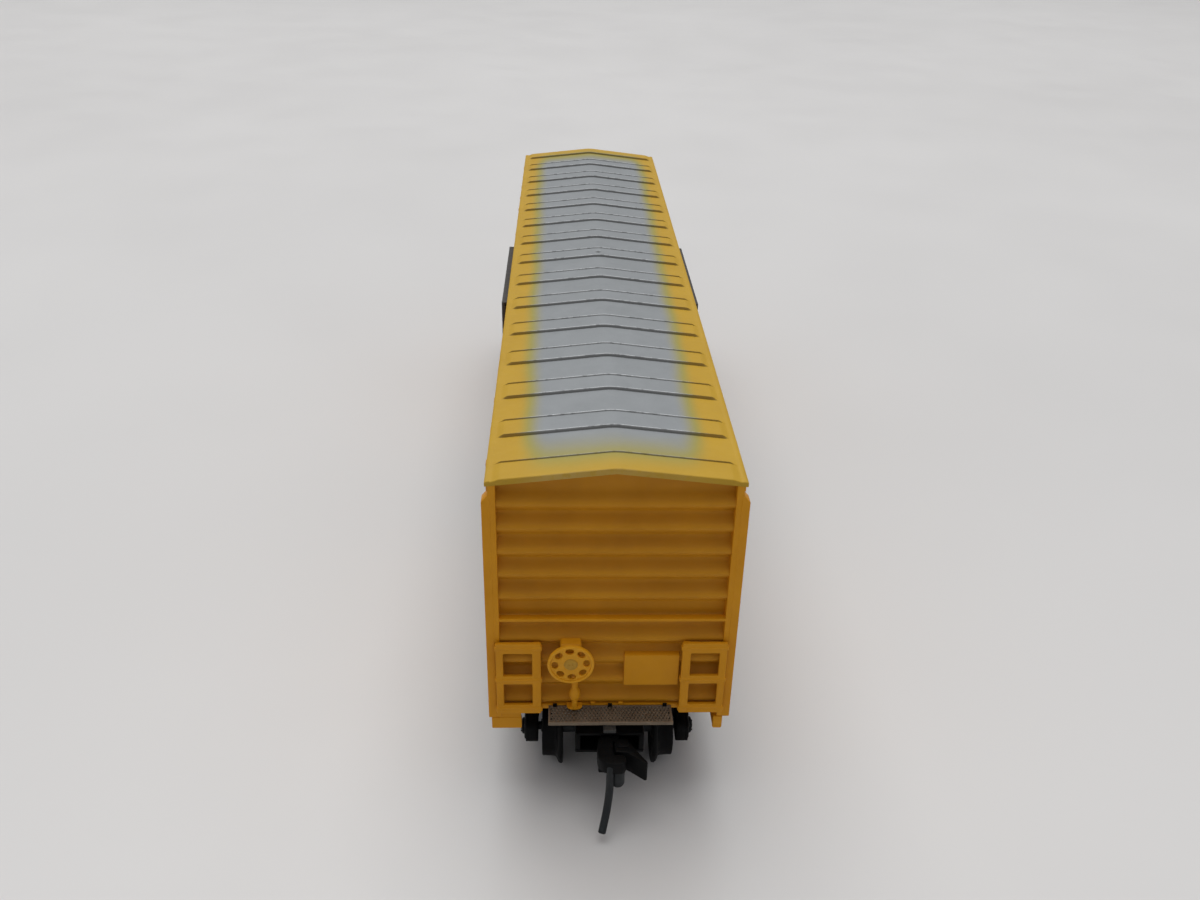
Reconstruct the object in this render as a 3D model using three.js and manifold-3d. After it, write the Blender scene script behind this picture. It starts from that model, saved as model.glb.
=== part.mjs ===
// Model railway box car, 1:160, with exterior side posts, a ribbed steel-style roof and corrugated ends.
// Frame: X across the car, Y along it with the brake-wheel end at -Y, Z up.
// Origin: middle of the car on the plane of the wheel-flange bottoms. All lengths are millimetres.
import * as THREE from 'three';
import { mergeVertices } from 'three/addons/utils/BufferGeometryUtils.js';
import Module from 'manifold-3d';

const wasm = await Module();
wasm.setup();

// ---------------------------------------------------------------- driving dimensions
const BODY_LENGTH = 100;
const EAVE_WIDTH = 19.7;
const POST_FACE_WIDTH = 20.3;
const SHEET_WIDTH = 19.2;
const WALL = 0.7;
const SILL_Z = 7.9;
const END_SILL_Z = 8.75;
const EAVE_Z = 31.0;
const RIDGE_RISE = 1.1;

const ROOF_PANELS = 14;
const ROOF_PITCH = 6.96;
const ROOF_VALLEY = 4.12;
const ROOF_RIB_HEIGHT = 0.22;
const ROOF_DECK_THICKNESS = 0.3;

const END_SHEET_SET_BACK = 0.5;
const CORNER_POST_WIDTH = 0.85;
const CORRUGATION_TOP_Z = 28.7;
const CORRUGATION_PITCH = 2.13;
const CORRUGATION_COUNT = 10;
const LEDGE_INDEX = 5;

const BAYS_PER_SIDE = 7;
const POST_WIDTH = 0.75;
const POST_TOP_Z = 29.15;
const POST_TAPER = 0.6;
const TOP_CHORD_Z = 29.9;

const DOOR_HALF_LENGTH = 9.5;
const DOOR_TRAVEL = 19;
const DOOR_INNER_X = 10.2;
const DOOR_OUTER_X = 10.65;
const RAIL_LIP_INNER_X = 9.95;
const RAIL_FACE_X = 10.12;
const TOP_RAIL_Z = 28.7;
const BOTTOM_RAIL_Z = 8.95;
const RUNNING_GAP = 0.05;

const FLOOR_BOTTOM_Z = 8.5;
const FLOOR_TOP_Z = 9.2;
const WEIGHT_TOP_Z = 10.25;

const TRUCK_CENTRE_Y = 40.5;
const HALF_WHEELBASE = 5.5;
const TREAD_RADIUS = 2.62;
const FLANGE_RADIUS = 3.27;
const WHEEL_BACK_X = 3.9;
const WHEEL_FACE_X = 5.75;
const AXLE_RADIUS = 0.6;
const JOURNAL_RADIUS = 0.35;
const SIDE_FRAME_INNER_X = 6.05;
const SIDE_FRAME_OUTER_X = 7.25;
const JOURNAL_BOX_OUTER_X = 7.7;
const CENTRE_PLATE_Z = 6.95;
const KINGPIN_RADIUS = 0.72;

const COUPLER_PIVOT_Y = -48.2;
const COUPLER_BOX_HALF_WIDTH = 2.9;
const COUPLER_BOX_FRONT_Y = -51.2;
const COUPLER_BOX_BACK_Y = -46.6;
const COUPLER_BOX_TOP_Z = 7.2;
const COUPLER_BOX_BOTTOM_Z = 5.05;
const PIVOT_POST_RADIUS = 0.55;

const BRAKE_WHEEL_CENTRE = [-3.32, -51.15, 14.6];
const BRAKE_WHEEL_RADIUS = 1.9;
const BRAKE_WHEEL_THICKNESS = 0.36;
const BRAKE_SHAFT_RADIUS = 0.25;
const BRAKE_WHEEL_TURN = 0.07;

const END_Y = -BODY_LENGTH / 2;
const END_SHEET_Y = END_Y + END_SHEET_SET_BACK;
const END_SILL_Y = END_Y + 0.1;
const SHEET_X = SHEET_WIDTH / 2;
const POST_X = POST_FACE_WIDTH / 2;
const EAVE_X = EAVE_WIDTH / 2;
const RIDGE_Z = EAVE_Z + RIDGE_RISE;

// ---------------------------------------------------------------- materials
function finish(color, roughness, metalness = 0) {
  return () => new THREE.MeshStandardMaterial({ color, roughness, metalness });
}
const bodyYellow = finish(0xd08a12, 0.55);
const doorBlack = finish(0x1c1a19, 0.5);
const blackPlastic = finish(0x17181a, 0.6);
const wheelBlack = finish(0x26282a, 0.4, 0.3);
const blackenedSteel = finish(0x363c40, 0.4, 0.7);
const etchedMetal = finish(0x8a7d70, 0.45, 0.6);
const paintedMetal = finish(0xc98a1c, 0.5, 0.1);
const plainSteel = finish(0x9a9c9e, 0.35, 0.9);

// ---------------------------------------------------------------- shape helpers
function box([x0, x1], [y0, y1], [z0, z1]) {
  const geometry = new THREE.BoxGeometry(x1 - x0, y1 - y0, z1 - z0);
  return geometry.translate((x0 + x1) / 2, (y0 + y1) / 2, (z0 + z1) / 2);
}

function loopOf(points) {
  const loop = points.map(([a, b]) => new THREE.Vector2(a, b));
  return THREE.ShapeUtils.area(loop) > 0 ? loop : loop.reverse();
}

function extrude(outline, from, to, holes = []) {
  const shape = new THREE.Shape(loopOf(outline));
  shape.holes.push(...holes.map((hole) => new THREE.Path(loopOf(hole))));
  const geometry = new THREE.ExtrudeGeometry(shape, { depth: to - from, bevelEnabled: false });
  return geometry.translate(0, 0, from);
}

// An outline of (x, z) points, pushed along Y.
function extrudeAlongY(outline, from, to, holes) {
  return extrude(outline, -to, -from, holes).rotateX(Math.PI / 2);
}

// An outline of (y, z) points, pushed along X.
function extrudeAlongX(outline, from, to, holes) {
  const turn = new THREE.Matrix4().makeBasis(
    new THREE.Vector3(0, 1, 0),
    new THREE.Vector3(0, 0, 1),
    new THREE.Vector3(1, 0, 0),
  );
  return extrude(outline, from, to, holes).applyMatrix4(turn);
}

function rod(start, end, radius, sides = 16, endRadius = radius) {
  const a = new THREE.Vector3(...start);
  const b = new THREE.Vector3(...end);
  const geometry = new THREE.CylinderGeometry(endRadius, radius, a.distanceTo(b), sides);
  const turn = new THREE.Quaternion();
  turn.setFromUnitVectors(new THREE.Vector3(0, 1, 0), b.clone().sub(a).normalize());
  geometry.applyQuaternion(turn);
  return geometry.translate(...a.add(b).multiplyScalar(0.5).toArray());
}

// A profile of (radius, x) points, turned about the X axis.
function turnAboutX(profile, sides) {
  const points = profile.map(([radius, x]) => new THREE.Vector2(radius, x));
  return new THREE.LatheGeometry(points, sides).rotateZ(-Math.PI / 2);
}

function circle([cx, cz], radius, count) {
  const points = [];
  for (let i = 0; i < count; i += 1) {
    const angle = (2 * Math.PI * i) / count;
    points.push([cx + radius * Math.cos(angle), cz + radius * Math.sin(angle)]);
  }
  return points;
}

function toSolid(geometry) {
  const bare = geometry.clone();
  bare.deleteAttribute('normal');
  bare.deleteAttribute('uv');
  const welded = mergeVertices(bare, 1e-4);
  const mesh = new wasm.Mesh({
    numProp: 3,
    vertProperties: Float32Array.from(welded.attributes.position.array),
    triVerts: Uint32Array.from(welded.index.array),
  });
  return new wasm.Manifold(mesh);
}

function join(geometries) {
  return geometries.map(toSolid).reduce((whole, piece) => whole.add(piece));
}

function cut(solid, geometries) {
  return geometries.map(toSolid).reduce((whole, piece) => whole.subtract(piece), solid);
}

function toGeometry(solid) {
  const { vertProperties, triVerts } = solid.getMesh();
  const geometry = new THREE.BufferGeometry();
  geometry.setAttribute('position', new THREE.BufferAttribute(vertProperties, 3));
  geometry.setIndex(new THREE.BufferAttribute(triVerts, 1));
  const faceted = geometry.toNonIndexed();
  faceted.computeVertexNormals();
  return faceted;
}

function addPart(parent, name, geometry, material) {
  const mesh = new THREE.Mesh(geometry, material());
  mesh.name = name;
  parent.add(mesh);
  return mesh;
}

// The same features at the brake end and, turned half round, at the other end.
function atBothEnds(makeFeatures) {
  const turned = makeFeatures().map((geometry) => geometry.rotateZ(Math.PI));
  return [...makeFeatures(), ...turned];
}

function mirrored(range) {
  return [range, [-range[1], -range[0]]];
}

// ---------------------------------------------------------------- body shell
function roofHeight(x) {
  return RIDGE_Z - (RIDGE_RISE * Math.abs(x)) / EAVE_X;
}

function roofDeck() {
  const eaveTop = EAVE_Z - ROOF_RIB_HEIGHT;
  const outline = [
    [-EAVE_X, eaveTop - ROOF_DECK_THICKNESS],
    [EAVE_X, eaveTop - ROOF_DECK_THICKNESS],
    [EAVE_X, eaveTop],
    [0, RIDGE_Z - ROOF_RIB_HEIGHT],
    [-EAVE_X, eaveTop],
  ];
  return extrudeAlongY(outline, END_Y, -END_Y);
}

function roofRibs() {
  const ribEnd = EAVE_X - 0.5;
  const ribShoulder = EAVE_X - 1.1;
  const outline = [
    [-ribEnd, EAVE_Z - ROOF_RIB_HEIGHT - 0.15],
    [ribEnd, EAVE_Z - ROOF_RIB_HEIGHT - 0.15],
    [ribEnd, roofHeight(ribEnd) - ROOF_RIB_HEIGHT],
    [ribShoulder, roofHeight(ribShoulder)],
    [0, RIDGE_Z],
    [-ribShoulder, roofHeight(ribShoulder)],
    [-ribEnd, roofHeight(ribEnd) - ROOF_RIB_HEIGHT],
  ];
  const ribs = [];
  let start = END_Y;
  for (let i = 0; i < ROOF_PANELS; i += 1) {
    const valleyCentre = (i - (ROOF_PANELS - 1) / 2) * ROOF_PITCH;
    ribs.push(extrudeAlongY(outline, start, valleyCentre - ROOF_VALLEY / 2));
    start = valleyCentre + ROOF_VALLEY / 2;
  }
  ribs.push(extrudeAlongY(outline, start, -END_Y));
  return ribs;
}

function endCorrugations() {
  const inner = SHEET_X - CORNER_POST_WIDTH + 0.3;
  const ribs = [];
  for (let i = 0; i < CORRUGATION_COUNT; i += 1) {
    const z = CORRUGATION_TOP_Z - CORRUGATION_PITCH * i;
    const isLedge = i === LEDGE_INDEX;
    const crest = isLedge ? END_Y + 0.05 : END_Y + 0.15;
    const reach = isLedge ? 0.25 : 0.85;
    const flat = isLedge ? 0.14 : 0.25;
    const outline = [
      [END_SHEET_Y + 0.1, z - reach],
      [END_SHEET_Y + 0.1, z + reach],
      [END_SHEET_Y, z + reach],
      [crest, z + flat],
      [crest, z - flat],
      [END_SHEET_Y, z - reach],
    ];
    ribs.push(extrudeAlongX(outline, -inner, inner));
  }
  return ribs;
}

function cornerPost(side) {
  const x = [SHEET_X - CORNER_POST_WIDTH + 0.55, SHEET_X + 0.1];
  const post = box(side > 0 ? x : [-x[1], -x[0]], [END_Y, END_Y + 1.1], [SILL_Z, EAVE_Z - 0.4]);
  const outline = [
    [SHEET_X - 0.2, SILL_Z],
    [POST_X, SILL_Z],
    [POST_X, POST_TOP_Z],
    [SHEET_X, POST_TOP_Z + POST_TAPER],
    [SHEET_X - 0.2, POST_TOP_Z + POST_TAPER],
  ];
  const flange = extrudeAlongY(outline.map(([a, b]) => [side * a, b]), END_Y, END_Y + 1.1);
  return [post, flange];
}

function endFeatures() {
  const ladderPads = [6.1, -6.1].flatMap((x) => [9.1, 15.6].map((z) => (
    box([x - 0.25, x + 0.25], [END_Y, END_SHEET_Y + 0.1], [z - 0.25, z + 0.25])
  )));
  return [
    ...cornerPost(1),
    ...cornerPost(-1),
    ...endCorrugations(),
    ...ladderPads,
    box([-SHEET_X, SHEET_X], [END_SILL_Y, END_SHEET_Y + 0.1], [END_SILL_Z, END_SILL_Z + 0.5]),
    box([1.05, 5.6], [END_Y - 0.05, END_SHEET_Y + 0.1], [11.4, 14.55]),
  ];
}

function postCentre(index) {
  const first = DOOR_HALF_LENGTH + 0.55;
  const last = BODY_LENGTH / 2 - 0.5;
  return first + (index * (last - first)) / BAYS_PER_SIDE;
}

// One side as seen from +X; the other side is the same turned half round about Z.
function sideFeatures() {
  const features = [];
  const railFrom = -DOOR_HALF_LENGTH - 0.2;
  const railTo = DOOR_HALF_LENGTH + DOOR_TRAVEL + 0.3;
  const clear = [BOTTOM_RAIL_Z - 0.05, TOP_RAIL_Z + 0.05];
  for (const direction of [-1, 1]) {
    for (let i = 0; i < BAYS_PER_SIDE; i += 1) {
      const y = direction * postCentre(i);
      const betweenRails = y > railFrom - 0.5 && y < railTo + 0.5;
      const outline = betweenRails
        ? [[SHEET_X - 0.2, clear[0]], [POST_X, clear[0]], [POST_X, clear[1]], [SHEET_X - 0.2, clear[1]]]
        : [[SHEET_X - 0.2, SILL_Z + 0.8], [POST_X, SILL_Z + 0.8], [POST_X, POST_TOP_Z],
          [SHEET_X, POST_TOP_Z + POST_TAPER], [SHEET_X - 0.2, POST_TOP_Z + POST_TAPER]];
      features.push(extrudeAlongY(outline, y - POST_WIDTH / 2, y + POST_WIDTH / 2));
    }
  }
  const inner = SHEET_X - 0.2;
  features.push(box([inner, EAVE_X - 0.08], [END_Y + 0.3, -END_Y - 0.3], [TOP_CHORD_Z, EAVE_Z - 0.4]));
  features.push(box([inner, POST_X], [END_Y + 0.3, railFrom], [SILL_Z, SILL_Z + 0.95]));
  features.push(box([inner, POST_X], [railTo, -END_Y - 0.3], [SILL_Z, SILL_Z + 0.95]));
  const lip = [RAIL_LIP_INNER_X, RAIL_FACE_X];
  features.push(extrudeAlongY([
    [inner, TOP_RAIL_Z], [lip[1], TOP_RAIL_Z], [lip[1], TOP_RAIL_Z + 0.5], [lip[0], TOP_RAIL_Z + 0.5],
    [lip[0], TOP_RAIL_Z + 0.2], [inner, TOP_RAIL_Z + 0.2],
  ], railFrom, railTo));
  features.push(extrudeAlongY([
    [inner, BOTTOM_RAIL_Z], [lip[1], BOTTOM_RAIL_Z], [lip[1], BOTTOM_RAIL_Z - 0.5],
    [lip[0], BOTTOM_RAIL_Z - 0.5], [lip[0], BOTTOM_RAIL_Z - 0.2], [inner, BOTTOM_RAIL_Z - 0.2],
  ], railFrom, railTo));
  return features;
}

function bodyShell() {
  const hull = box([-SHEET_X, SHEET_X], [END_SHEET_Y, -END_SHEET_Y], [SILL_Z, EAVE_Z - 0.4]);
  const inside = SHEET_X - WALL;
  const cavity = extrudeAlongY([
    [-inside, SILL_Z - 1],
    [inside, SILL_Z - 1],
    [inside, EAVE_Z - 1.1],
    [0, RIDGE_Z - 1.1],
    [-inside, EAVE_Z - 1.1],
  ], END_SHEET_Y + 0.8, -END_SHEET_Y - 0.8);
  const doorway = box([-12, 12], [-DOOR_HALF_LENGTH + 0.3, DOOR_HALF_LENGTH - 0.3], [9.4, 28.4]);
  const endClearance = atBothEnds(() => [
    box([-SHEET_X + 0.7, SHEET_X - 0.7], [END_Y - 1, END_SHEET_Y + 1], [SILL_Z - 1, END_SILL_Z]),
  ]);
  const raised = [roofDeck(), ...roofRibs(), ...atBothEnds(endFeatures), ...atBothEnds(sideFeatures)];
  return cut(join([hull, ...raised]), [cavity, doorway, ...endClearance]);
}

// ---------------------------------------------------------------- side doors
// The door hangs on the top rail by a claw and is held in below by a second one.
function slidingDoor() {
  const from = -DOOR_HALF_LENGTH;
  const to = DOOR_HALF_LENGTH;
  const clawInner = SHEET_X + 0.1;
  const clawOuter = RAIL_LIP_INNER_X - RUNNING_GAP;
  const top = TOP_RAIL_Z + 0.5 + RUNNING_GAP;
  const bottom = BOTTOM_RAIL_Z - 0.5 - RUNNING_GAP;
  const plateOuter = DOOR_INNER_X + 0.22;
  const pieces = [
    box([DOOR_INNER_X, plateOuter], [from, to], [bottom - 0.2, top + 0.2]),
    box([clawInner, plateOuter], [from, to], [top, top + 0.2]),
    box([clawInner, clawOuter], [from, to], [TOP_RAIL_Z + 0.2 + RUNNING_GAP, top + 0.2]),
    box([clawInner, plateOuter], [from, to], [bottom - 0.2, bottom]),
    box([clawInner, clawOuter], [from, to], [bottom - 0.2, BOTTOM_RAIL_Z - 0.2 - RUNNING_GAP]),
    box([plateOuter - 0.05, DOOR_OUTER_X], [from, from + 0.6], [bottom - 0.2, top + 0.2]),
    box([plateOuter - 0.05, DOOR_OUTER_X], [to - 0.6, to], [bottom - 0.2, top + 0.2]),
    box([plateOuter - 0.05, DOOR_OUTER_X], [from, to], [top - 0.4, top + 0.2]),
    box([plateOuter - 0.05, DOOR_OUTER_X], [from, to], [bottom - 0.2, bottom + 0.4]),
  ];
  const stiffeners = 5;
  for (let i = 1; i <= stiffeners; i += 1) {
    const z = bottom + (i * (top - bottom)) / (stiffeners + 1);
    pieces.push(box([plateOuter - 0.05, DOOR_OUTER_X - 0.06], [from + 0.3, to - 0.3], [z - 0.35, z + 0.35]));
  }
  return join(pieces);
}

// ---------------------------------------------------------------- end details
function endPlatform() {
  const half = 5.15;
  const top = 9.17;
  const front = END_Y - 2.12;
  const back = END_SILL_Y - 0.02;
  const deck = box([-half, half], [front, back], [top - 0.22, top]);
  const lip = box([-half, half], [front, front + 0.2], [top - 0.24, top + 0.1]);
  const tabs = [-4.6, 0, 4.6].map((x) => (
    box([x - 0.2, x + 0.2], [back - 0.25, back], [top - 0.1, top + 0.38])
  ));
  return join([deck, lip, ...tabs]);
}

function endLadder(side) {
  const inner = 5.73;
  const outer = 9.4;
  const outline = [[inner, 8.75], [outer, 8.75], [outer, 16.05], [inner, 16.05]];
  const windows = [[9.68, 11.88], [12.72, 15.05]].map(([low, high]) => (
    [[inner + 0.72, low], [outer - 0.6, low], [outer - 0.6, high], [inner + 0.72, high]]
  ));
  const place = (points) => points.map(([a, b]) => [side * a, b]);
  return extrudeAlongY(place(outline), END_Y - 0.5, END_Y - 0.12, windows.map(place));
}

function endLadderWithFeet(side) {
  const feet = [[5.85, 6.35], [9.0, 9.35]].flatMap(([x0, x1]) => [9.1, 15.6].map((z) => {
    const x = side > 0 ? [x0, x1] : [-x1, -x0];
    return box(x, [END_Y - 0.2, END_Y - 0.02], [z - 0.2, z + 0.2]);
  }));
  return join([endLadder(side), ...feet]);
}

function sideLadder(side) {
  const from = END_Y + 1.35;
  const to = END_Y + 4.35;
  const x = (low, high) => (side > 0 ? [low, high] : [-high, -low]);
  const pieces = [from, to - 0.4].map((y) => (
    box(x(SHEET_X + 0.18, POST_X - 0.05), [y, y + 0.4], [9.2, 16.1])
  ));
  for (const z of [9.6, 11.6, 13.6, 15.6]) {
    pieces.push(box(x(SHEET_X + 0.2, POST_X - 0.1), [from, to], [z - 0.18, z + 0.18]));
  }
  for (const z of [9.5, 15.7]) {
    pieces.push(box(x(SHEET_X + 0.02, SHEET_X + 0.3), [from + 0.05, from + 0.35], [z - 0.15, z + 0.15]));
    pieces.push(box(x(SHEET_X + 0.02, SHEET_X + 0.3), [to - 0.35, to - 0.05], [z - 0.15, z + 0.15]));
  }
  return join(pieces);
}

// Left of each end: a broad bent plate. Right of each end: a narrow stirrup.
function plateStep() {
  return join([
    box([-9.92, -7.4], [END_Y + 0.05, END_Y + 0.4], [6.65, 7.85]),
    box([-8.8, -7.4], [END_Y + 0.05, END_Y + 0.4], [7.5, 8.7]),
    box([-9.92, -9.6], [END_Y + 0.05, END_Y + 2.9], [6.65, 7.85]),
  ]);
}

function stirrupStep() {
  const legs = [END_Y + 0.05, END_Y + 2.55].map((y) => (
    box([8.8, 9.6], [y, y + 0.35], [6.5, 7.85])
  ));
  return join([...legs, box([8.8, 9.6], [END_Y + 0.05, END_Y + 2.9], [6.5, 6.85])]);
}

function brakeStand() {
  const [x, , z] = BRAKE_WHEEL_CENTRE;
  const rodX = x + 0.35;
  const rodY = END_Y - 0.45;
  const back = END_SILL_Y + 0.02;
  const tab = extrude([
    [rodX - 0.65, back],
    [rodX - 0.65, END_Y - 0.4],
    [rodX - 0.4, END_Y - 0.72],
    [rodX + 0.4, END_Y - 0.72],
    [rodX + 0.65, END_Y - 0.4],
    [rodX + 0.65, back],
  ], 9.3, 9.5);
  const solid = join([
    box([x - 0.85, x + 0.85], [END_Y - 0.75, back], [z - 1.1, z + 1.6]),
    rod([rodX, rodY, 9.4], [rodX, rodY, z - 1], 0.3, 12),
    rod([rodX, rodY, 10.6], [rodX, rodY, 11.1], 0.3, 12, 0.45),
    rod([rodX, rodY, 11.1], [rodX, rodY, 11.6], 0.45, 12, 0.3),
    tab,
  ]);
  const bore = rod([x, END_Y - 1, z], [x, END_Y - 0.2, z], BRAKE_SHAFT_RADIUS + RUNNING_GAP, 20);
  return cut(solid, [bore]);
}

function brakeWheel() {
  const half = BRAKE_WHEEL_THICKNESS / 2;
  const holes = [];
  for (let i = 0; i < 8; i += 1) {
    const angle = (Math.PI * i) / 4 + BRAKE_WHEEL_TURN;
    holes.push(circle([1.3 * Math.cos(angle), 1.3 * Math.sin(angle)], 0.27, 10));
  }
  const disc = extrudeAlongY(circle([0, 0], BRAKE_WHEEL_RADIUS, 40), -half, half, holes);
  const hub = rod([0, -half - 0.12, 0], [0, half, 0], 0.55, 20, 0.7);
  const shaft = rod([0, 0, 0], [0, 0.85, 0], BRAKE_SHAFT_RADIUS, 20);
  return join([disc, hub, shaft]);
}

// ---------------------------------------------------------------- underframe and what it carries
const BRAKE_GEAR = {
  cylinder: { x: -5.2, y: [4.6, 8.4], z: 7.05, radius: 1.15 },
  reservoir: { x: 5.0, y: [-3.2, 3.0], z: 7.1, radius: 1.1 },
  valve: { x: -5.2, y: -4.5, z: 7.1 },
};

function underframe() {
  const half = SHEET_X - WALL - 0.1;
  const endY = -END_SHEET_Y - 0.9;
  const pieces = [
    box([-half, half], [-endY, endY], [FLOOR_BOTTOM_Z, FLOOR_TOP_Z]),
    box([-1.3, 1.3], [-33, 33], [7.0, FLOOR_BOTTOM_Z + 0.1]),
    box([-1.7, 1.7], [-33, 33], [6.9, 7.1]),
    ...[-25, -15.5, 15.5, 25].map((y) => extrudeAlongY([
      [-8.3, FLOOR_BOTTOM_Z + 0.1],
      [-8.3, 8.1],
      [-2, 7.15],
      [2, 7.15],
      [8.3, 8.1],
      [8.3, FLOOR_BOTTOM_Z + 0.1],
    ], y - 0.35, y + 0.35)),
    ...[-1, 1].flatMap((end) => [
      box([-8.3, 8.3], [end * TRUCK_CENTRE_Y - 1.2, end * TRUCK_CENTRE_Y + 1.2], [8.0, FLOOR_BOTTOM_Z + 0.1]),
      rod([0, end * TRUCK_CENTRE_Y, CENTRE_PLATE_Z + 0.05], [0, end * TRUCK_CENTRE_Y, 8.6], 2.1, 32),
    ]),
    ...Object.values(BRAKE_GEAR).map(({ x, y }) => {
      const middle = Array.isArray(y) ? (y[0] + y[1]) / 2 : y;
      return box([x - 0.5, x + 0.5], [middle - 0.8, middle + 0.8], [8.27, FLOOR_BOTTOM_Z + 0.1]);
    }),
  ];
  const pinHoles = [-1, 1].map((end) => (
    rod([0, end * TRUCK_CENTRE_Y, 6], [0, end * TRUCK_CENTRE_Y, 9.0], KINGPIN_RADIUS + 0.03, 24)
  ));
  return cut(join(pieces), pinHoles);
}

function tank({ x, y, z, radius }) {
  const [from, to] = y;
  return join([
    rod([x, from + 0.35, z], [x, to - 0.35, z], radius, 20),
    rod([x, from, z], [x, from + 0.36, z], radius * 0.6, 20, radius),
    rod([x, to - 0.36, z], [x, to, z], radius, 20, radius * 0.6),
    box([x - 0.4, x + 0.4], [(from + to) / 2 - 0.6, (from + to) / 2 + 0.6], [z, 8.25]),
  ]);
}

function brakeCylinder() {
  const { x, y, z } = BRAKE_GEAR.cylinder;
  const pushRod = toSolid(rod([x, y[1] - 0.2, z], [x, y[1] + 1.6, z], 0.3, 12));
  return tank(BRAKE_GEAR.cylinder).add(pushRod);
}

function controlValve() {
  const { x, y, z } = BRAKE_GEAR.valve;
  return join([
    box([x - 0.8, x + 0.8], [y - 0.7, y + 0.7], [z - 0.7, 8.25]),
    rod([x, y - 1.6, z], [x, y + 1.6, z], 0.6, 16),
  ]);
}

function kingpin() {
  return join([
    rod([0, 0, 4.5], [0, 0, 4.85], 1.15, 24),
    rod([0, 0, 4.7], [0, 0, 8.9], KINGPIN_RADIUS, 24),
  ]);
}

// ---------------------------------------------------------------- truck (own frame: y = 0 at its centre)
function sideFrame(side) {
  const half = [
    [0, 1.7], [2.3, 1.8], [4.35, 3.0], [4.6, 2.4], [6.7, 2.4], [6.9, 2.7], [6.9, 4.1], [6.6, 4.4],
    [5.9, 4.75], [4.3, 5.9], [2.7, 6.4], [0, 6.4],
  ];
  const other = half.slice(1, -1).reverse().map(([y, z]) => [-y, z]);
  const window = [[2.1, 2.75], [3.95, 3.75], [4.3, 4.2], [3.6, 5.2], [2.6, 5.55], [2.1, 5.55]];
  const otherWindow = window.map(([y, z]) => [-y, z]);
  const x = [SIDE_FRAME_INNER_X, SIDE_FRAME_OUTER_X];
  const [from, to] = side > 0 ? x : [-x[1], -x[0]];
  const boxes = [-1, 1].map((end) => {
    const y = end * HALF_WHEELBASE;
    const reach = side > 0 ? [x[1] - 0.1, JOURNAL_BOX_OUTER_X] : [-JOURNAL_BOX_OUTER_X, 0.1 - x[1]];
    return box(reach, [y - 0.75, y + 0.75], [2.55, 4.05]);
  });
  const springs = box(
    side > 0 ? [x[1] - 0.1, x[1] + 0.3] : [-x[1] - 0.3, 0.1 - x[1]],
    [-1.6, 1.6],
    [2.3, 4.7],
  );
  return [extrudeAlongX([...half, ...other], from, to, [window, otherWindow]), ...boxes, springs];
}

function truckFrame() {
  const boxBack = COUPLER_BOX_BACK_Y + TRUCK_CENTRE_Y;
  const boxFront = COUPLER_BOX_FRONT_Y + TRUCK_CENTRE_Y;
  const pivot = COUPLER_PIVOT_Y + TRUCK_CENTRE_Y;
  const wall = 0.45;
  const ceiling = COUPLER_BOX_TOP_Z - 0.35;
  const solid = join([
    ...sideFrame(1),
    ...sideFrame(-1),
    box([-SIDE_FRAME_INNER_X - 0.2, SIDE_FRAME_INNER_X + 0.2], [-1.5, 1.5], [4.9, 6.4]),
    rod([0, 0, 6.2], [0, 0, CENTRE_PLATE_Z], 2.1, 32),
    box([-1.6, 1.6], [boxBack - 0.1, -1.4], [5.4, 6.5]),
    box([-COUPLER_BOX_HALF_WIDTH, COUPLER_BOX_HALF_WIDTH], [boxFront, boxBack], [ceiling, COUPLER_BOX_TOP_Z]),
    box([-COUPLER_BOX_HALF_WIDTH, COUPLER_BOX_HALF_WIDTH], [boxBack - wall, boxBack], [5.35, COUPLER_BOX_TOP_Z]),
    ...mirrored([COUPLER_BOX_HALF_WIDTH - wall, COUPLER_BOX_HALF_WIDTH]).map((x) => (
      box(x, [boxFront, boxBack], [5.35, COUPLER_BOX_TOP_Z])
    )),
    rod([0, pivot, 5.36], [0, pivot, ceiling + 0.1], PIVOT_POST_RADIUS, 24),
    box([-0.55, 0.55], [boxFront + 0.05, boxFront + 0.85], [ceiling + 0.1, COUPLER_BOX_TOP_Z + 0.25]),
  ]);
  const journals = [-1, 1].flatMap((side) => [-1, 1].map((end) => {
    const y = end * HALF_WHEELBASE;
    const start = [side * (SIDE_FRAME_INNER_X - 0.1), y, FLANGE_RADIUS];
    return rod(start, [side * 7.15, y, FLANGE_RADIUS], JOURNAL_RADIUS + RUNNING_GAP, 20);
  }));
  const pinHole = rod([0, 0, 4], [0, 0, 8], KINGPIN_RADIUS + RUNNING_GAP, 24);
  return cut(solid, [...journals, pinHole]);
}

function couplerBoxLid() {
  const front = COUPLER_BOX_FRONT_Y + TRUCK_CENTRE_Y;
  const back = COUPLER_BOX_BACK_Y + TRUCK_CENTRE_Y;
  const half = COUPLER_BOX_HALF_WIDTH;
  return join([
    box([-half, half], [front, back - 0.05], [COUPLER_BOX_BOTTOM_Z, COUPLER_BOX_BOTTOM_Z + 0.27]),
    ...mirrored([half - 0.4, half - 0.1]).map((x) => (
      box(x, [front + 1.2, front + 2.4], [COUPLER_BOX_BOTTOM_Z - 0.15, COUPLER_BOX_BOTTOM_Z + 0.1])
    )),
  ]);
}

function axle() {
  const shoulder = WHEEL_FACE_X + 0.1;
  const tip = 7.05;
  return turnAboutX([
    [0, -tip],
    [JOURNAL_RADIUS * 0.6, -tip + 0.1],
    [JOURNAL_RADIUS, -tip + 0.35],
    [JOURNAL_RADIUS, -shoulder],
    [AXLE_RADIUS, -shoulder],
    [AXLE_RADIUS, shoulder],
    [JOURNAL_RADIUS, shoulder],
    [JOURNAL_RADIUS, tip - 0.35],
    [JOURNAL_RADIUS * 0.6, tip - 0.1],
    [0, tip],
  ], 16);
}

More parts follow.
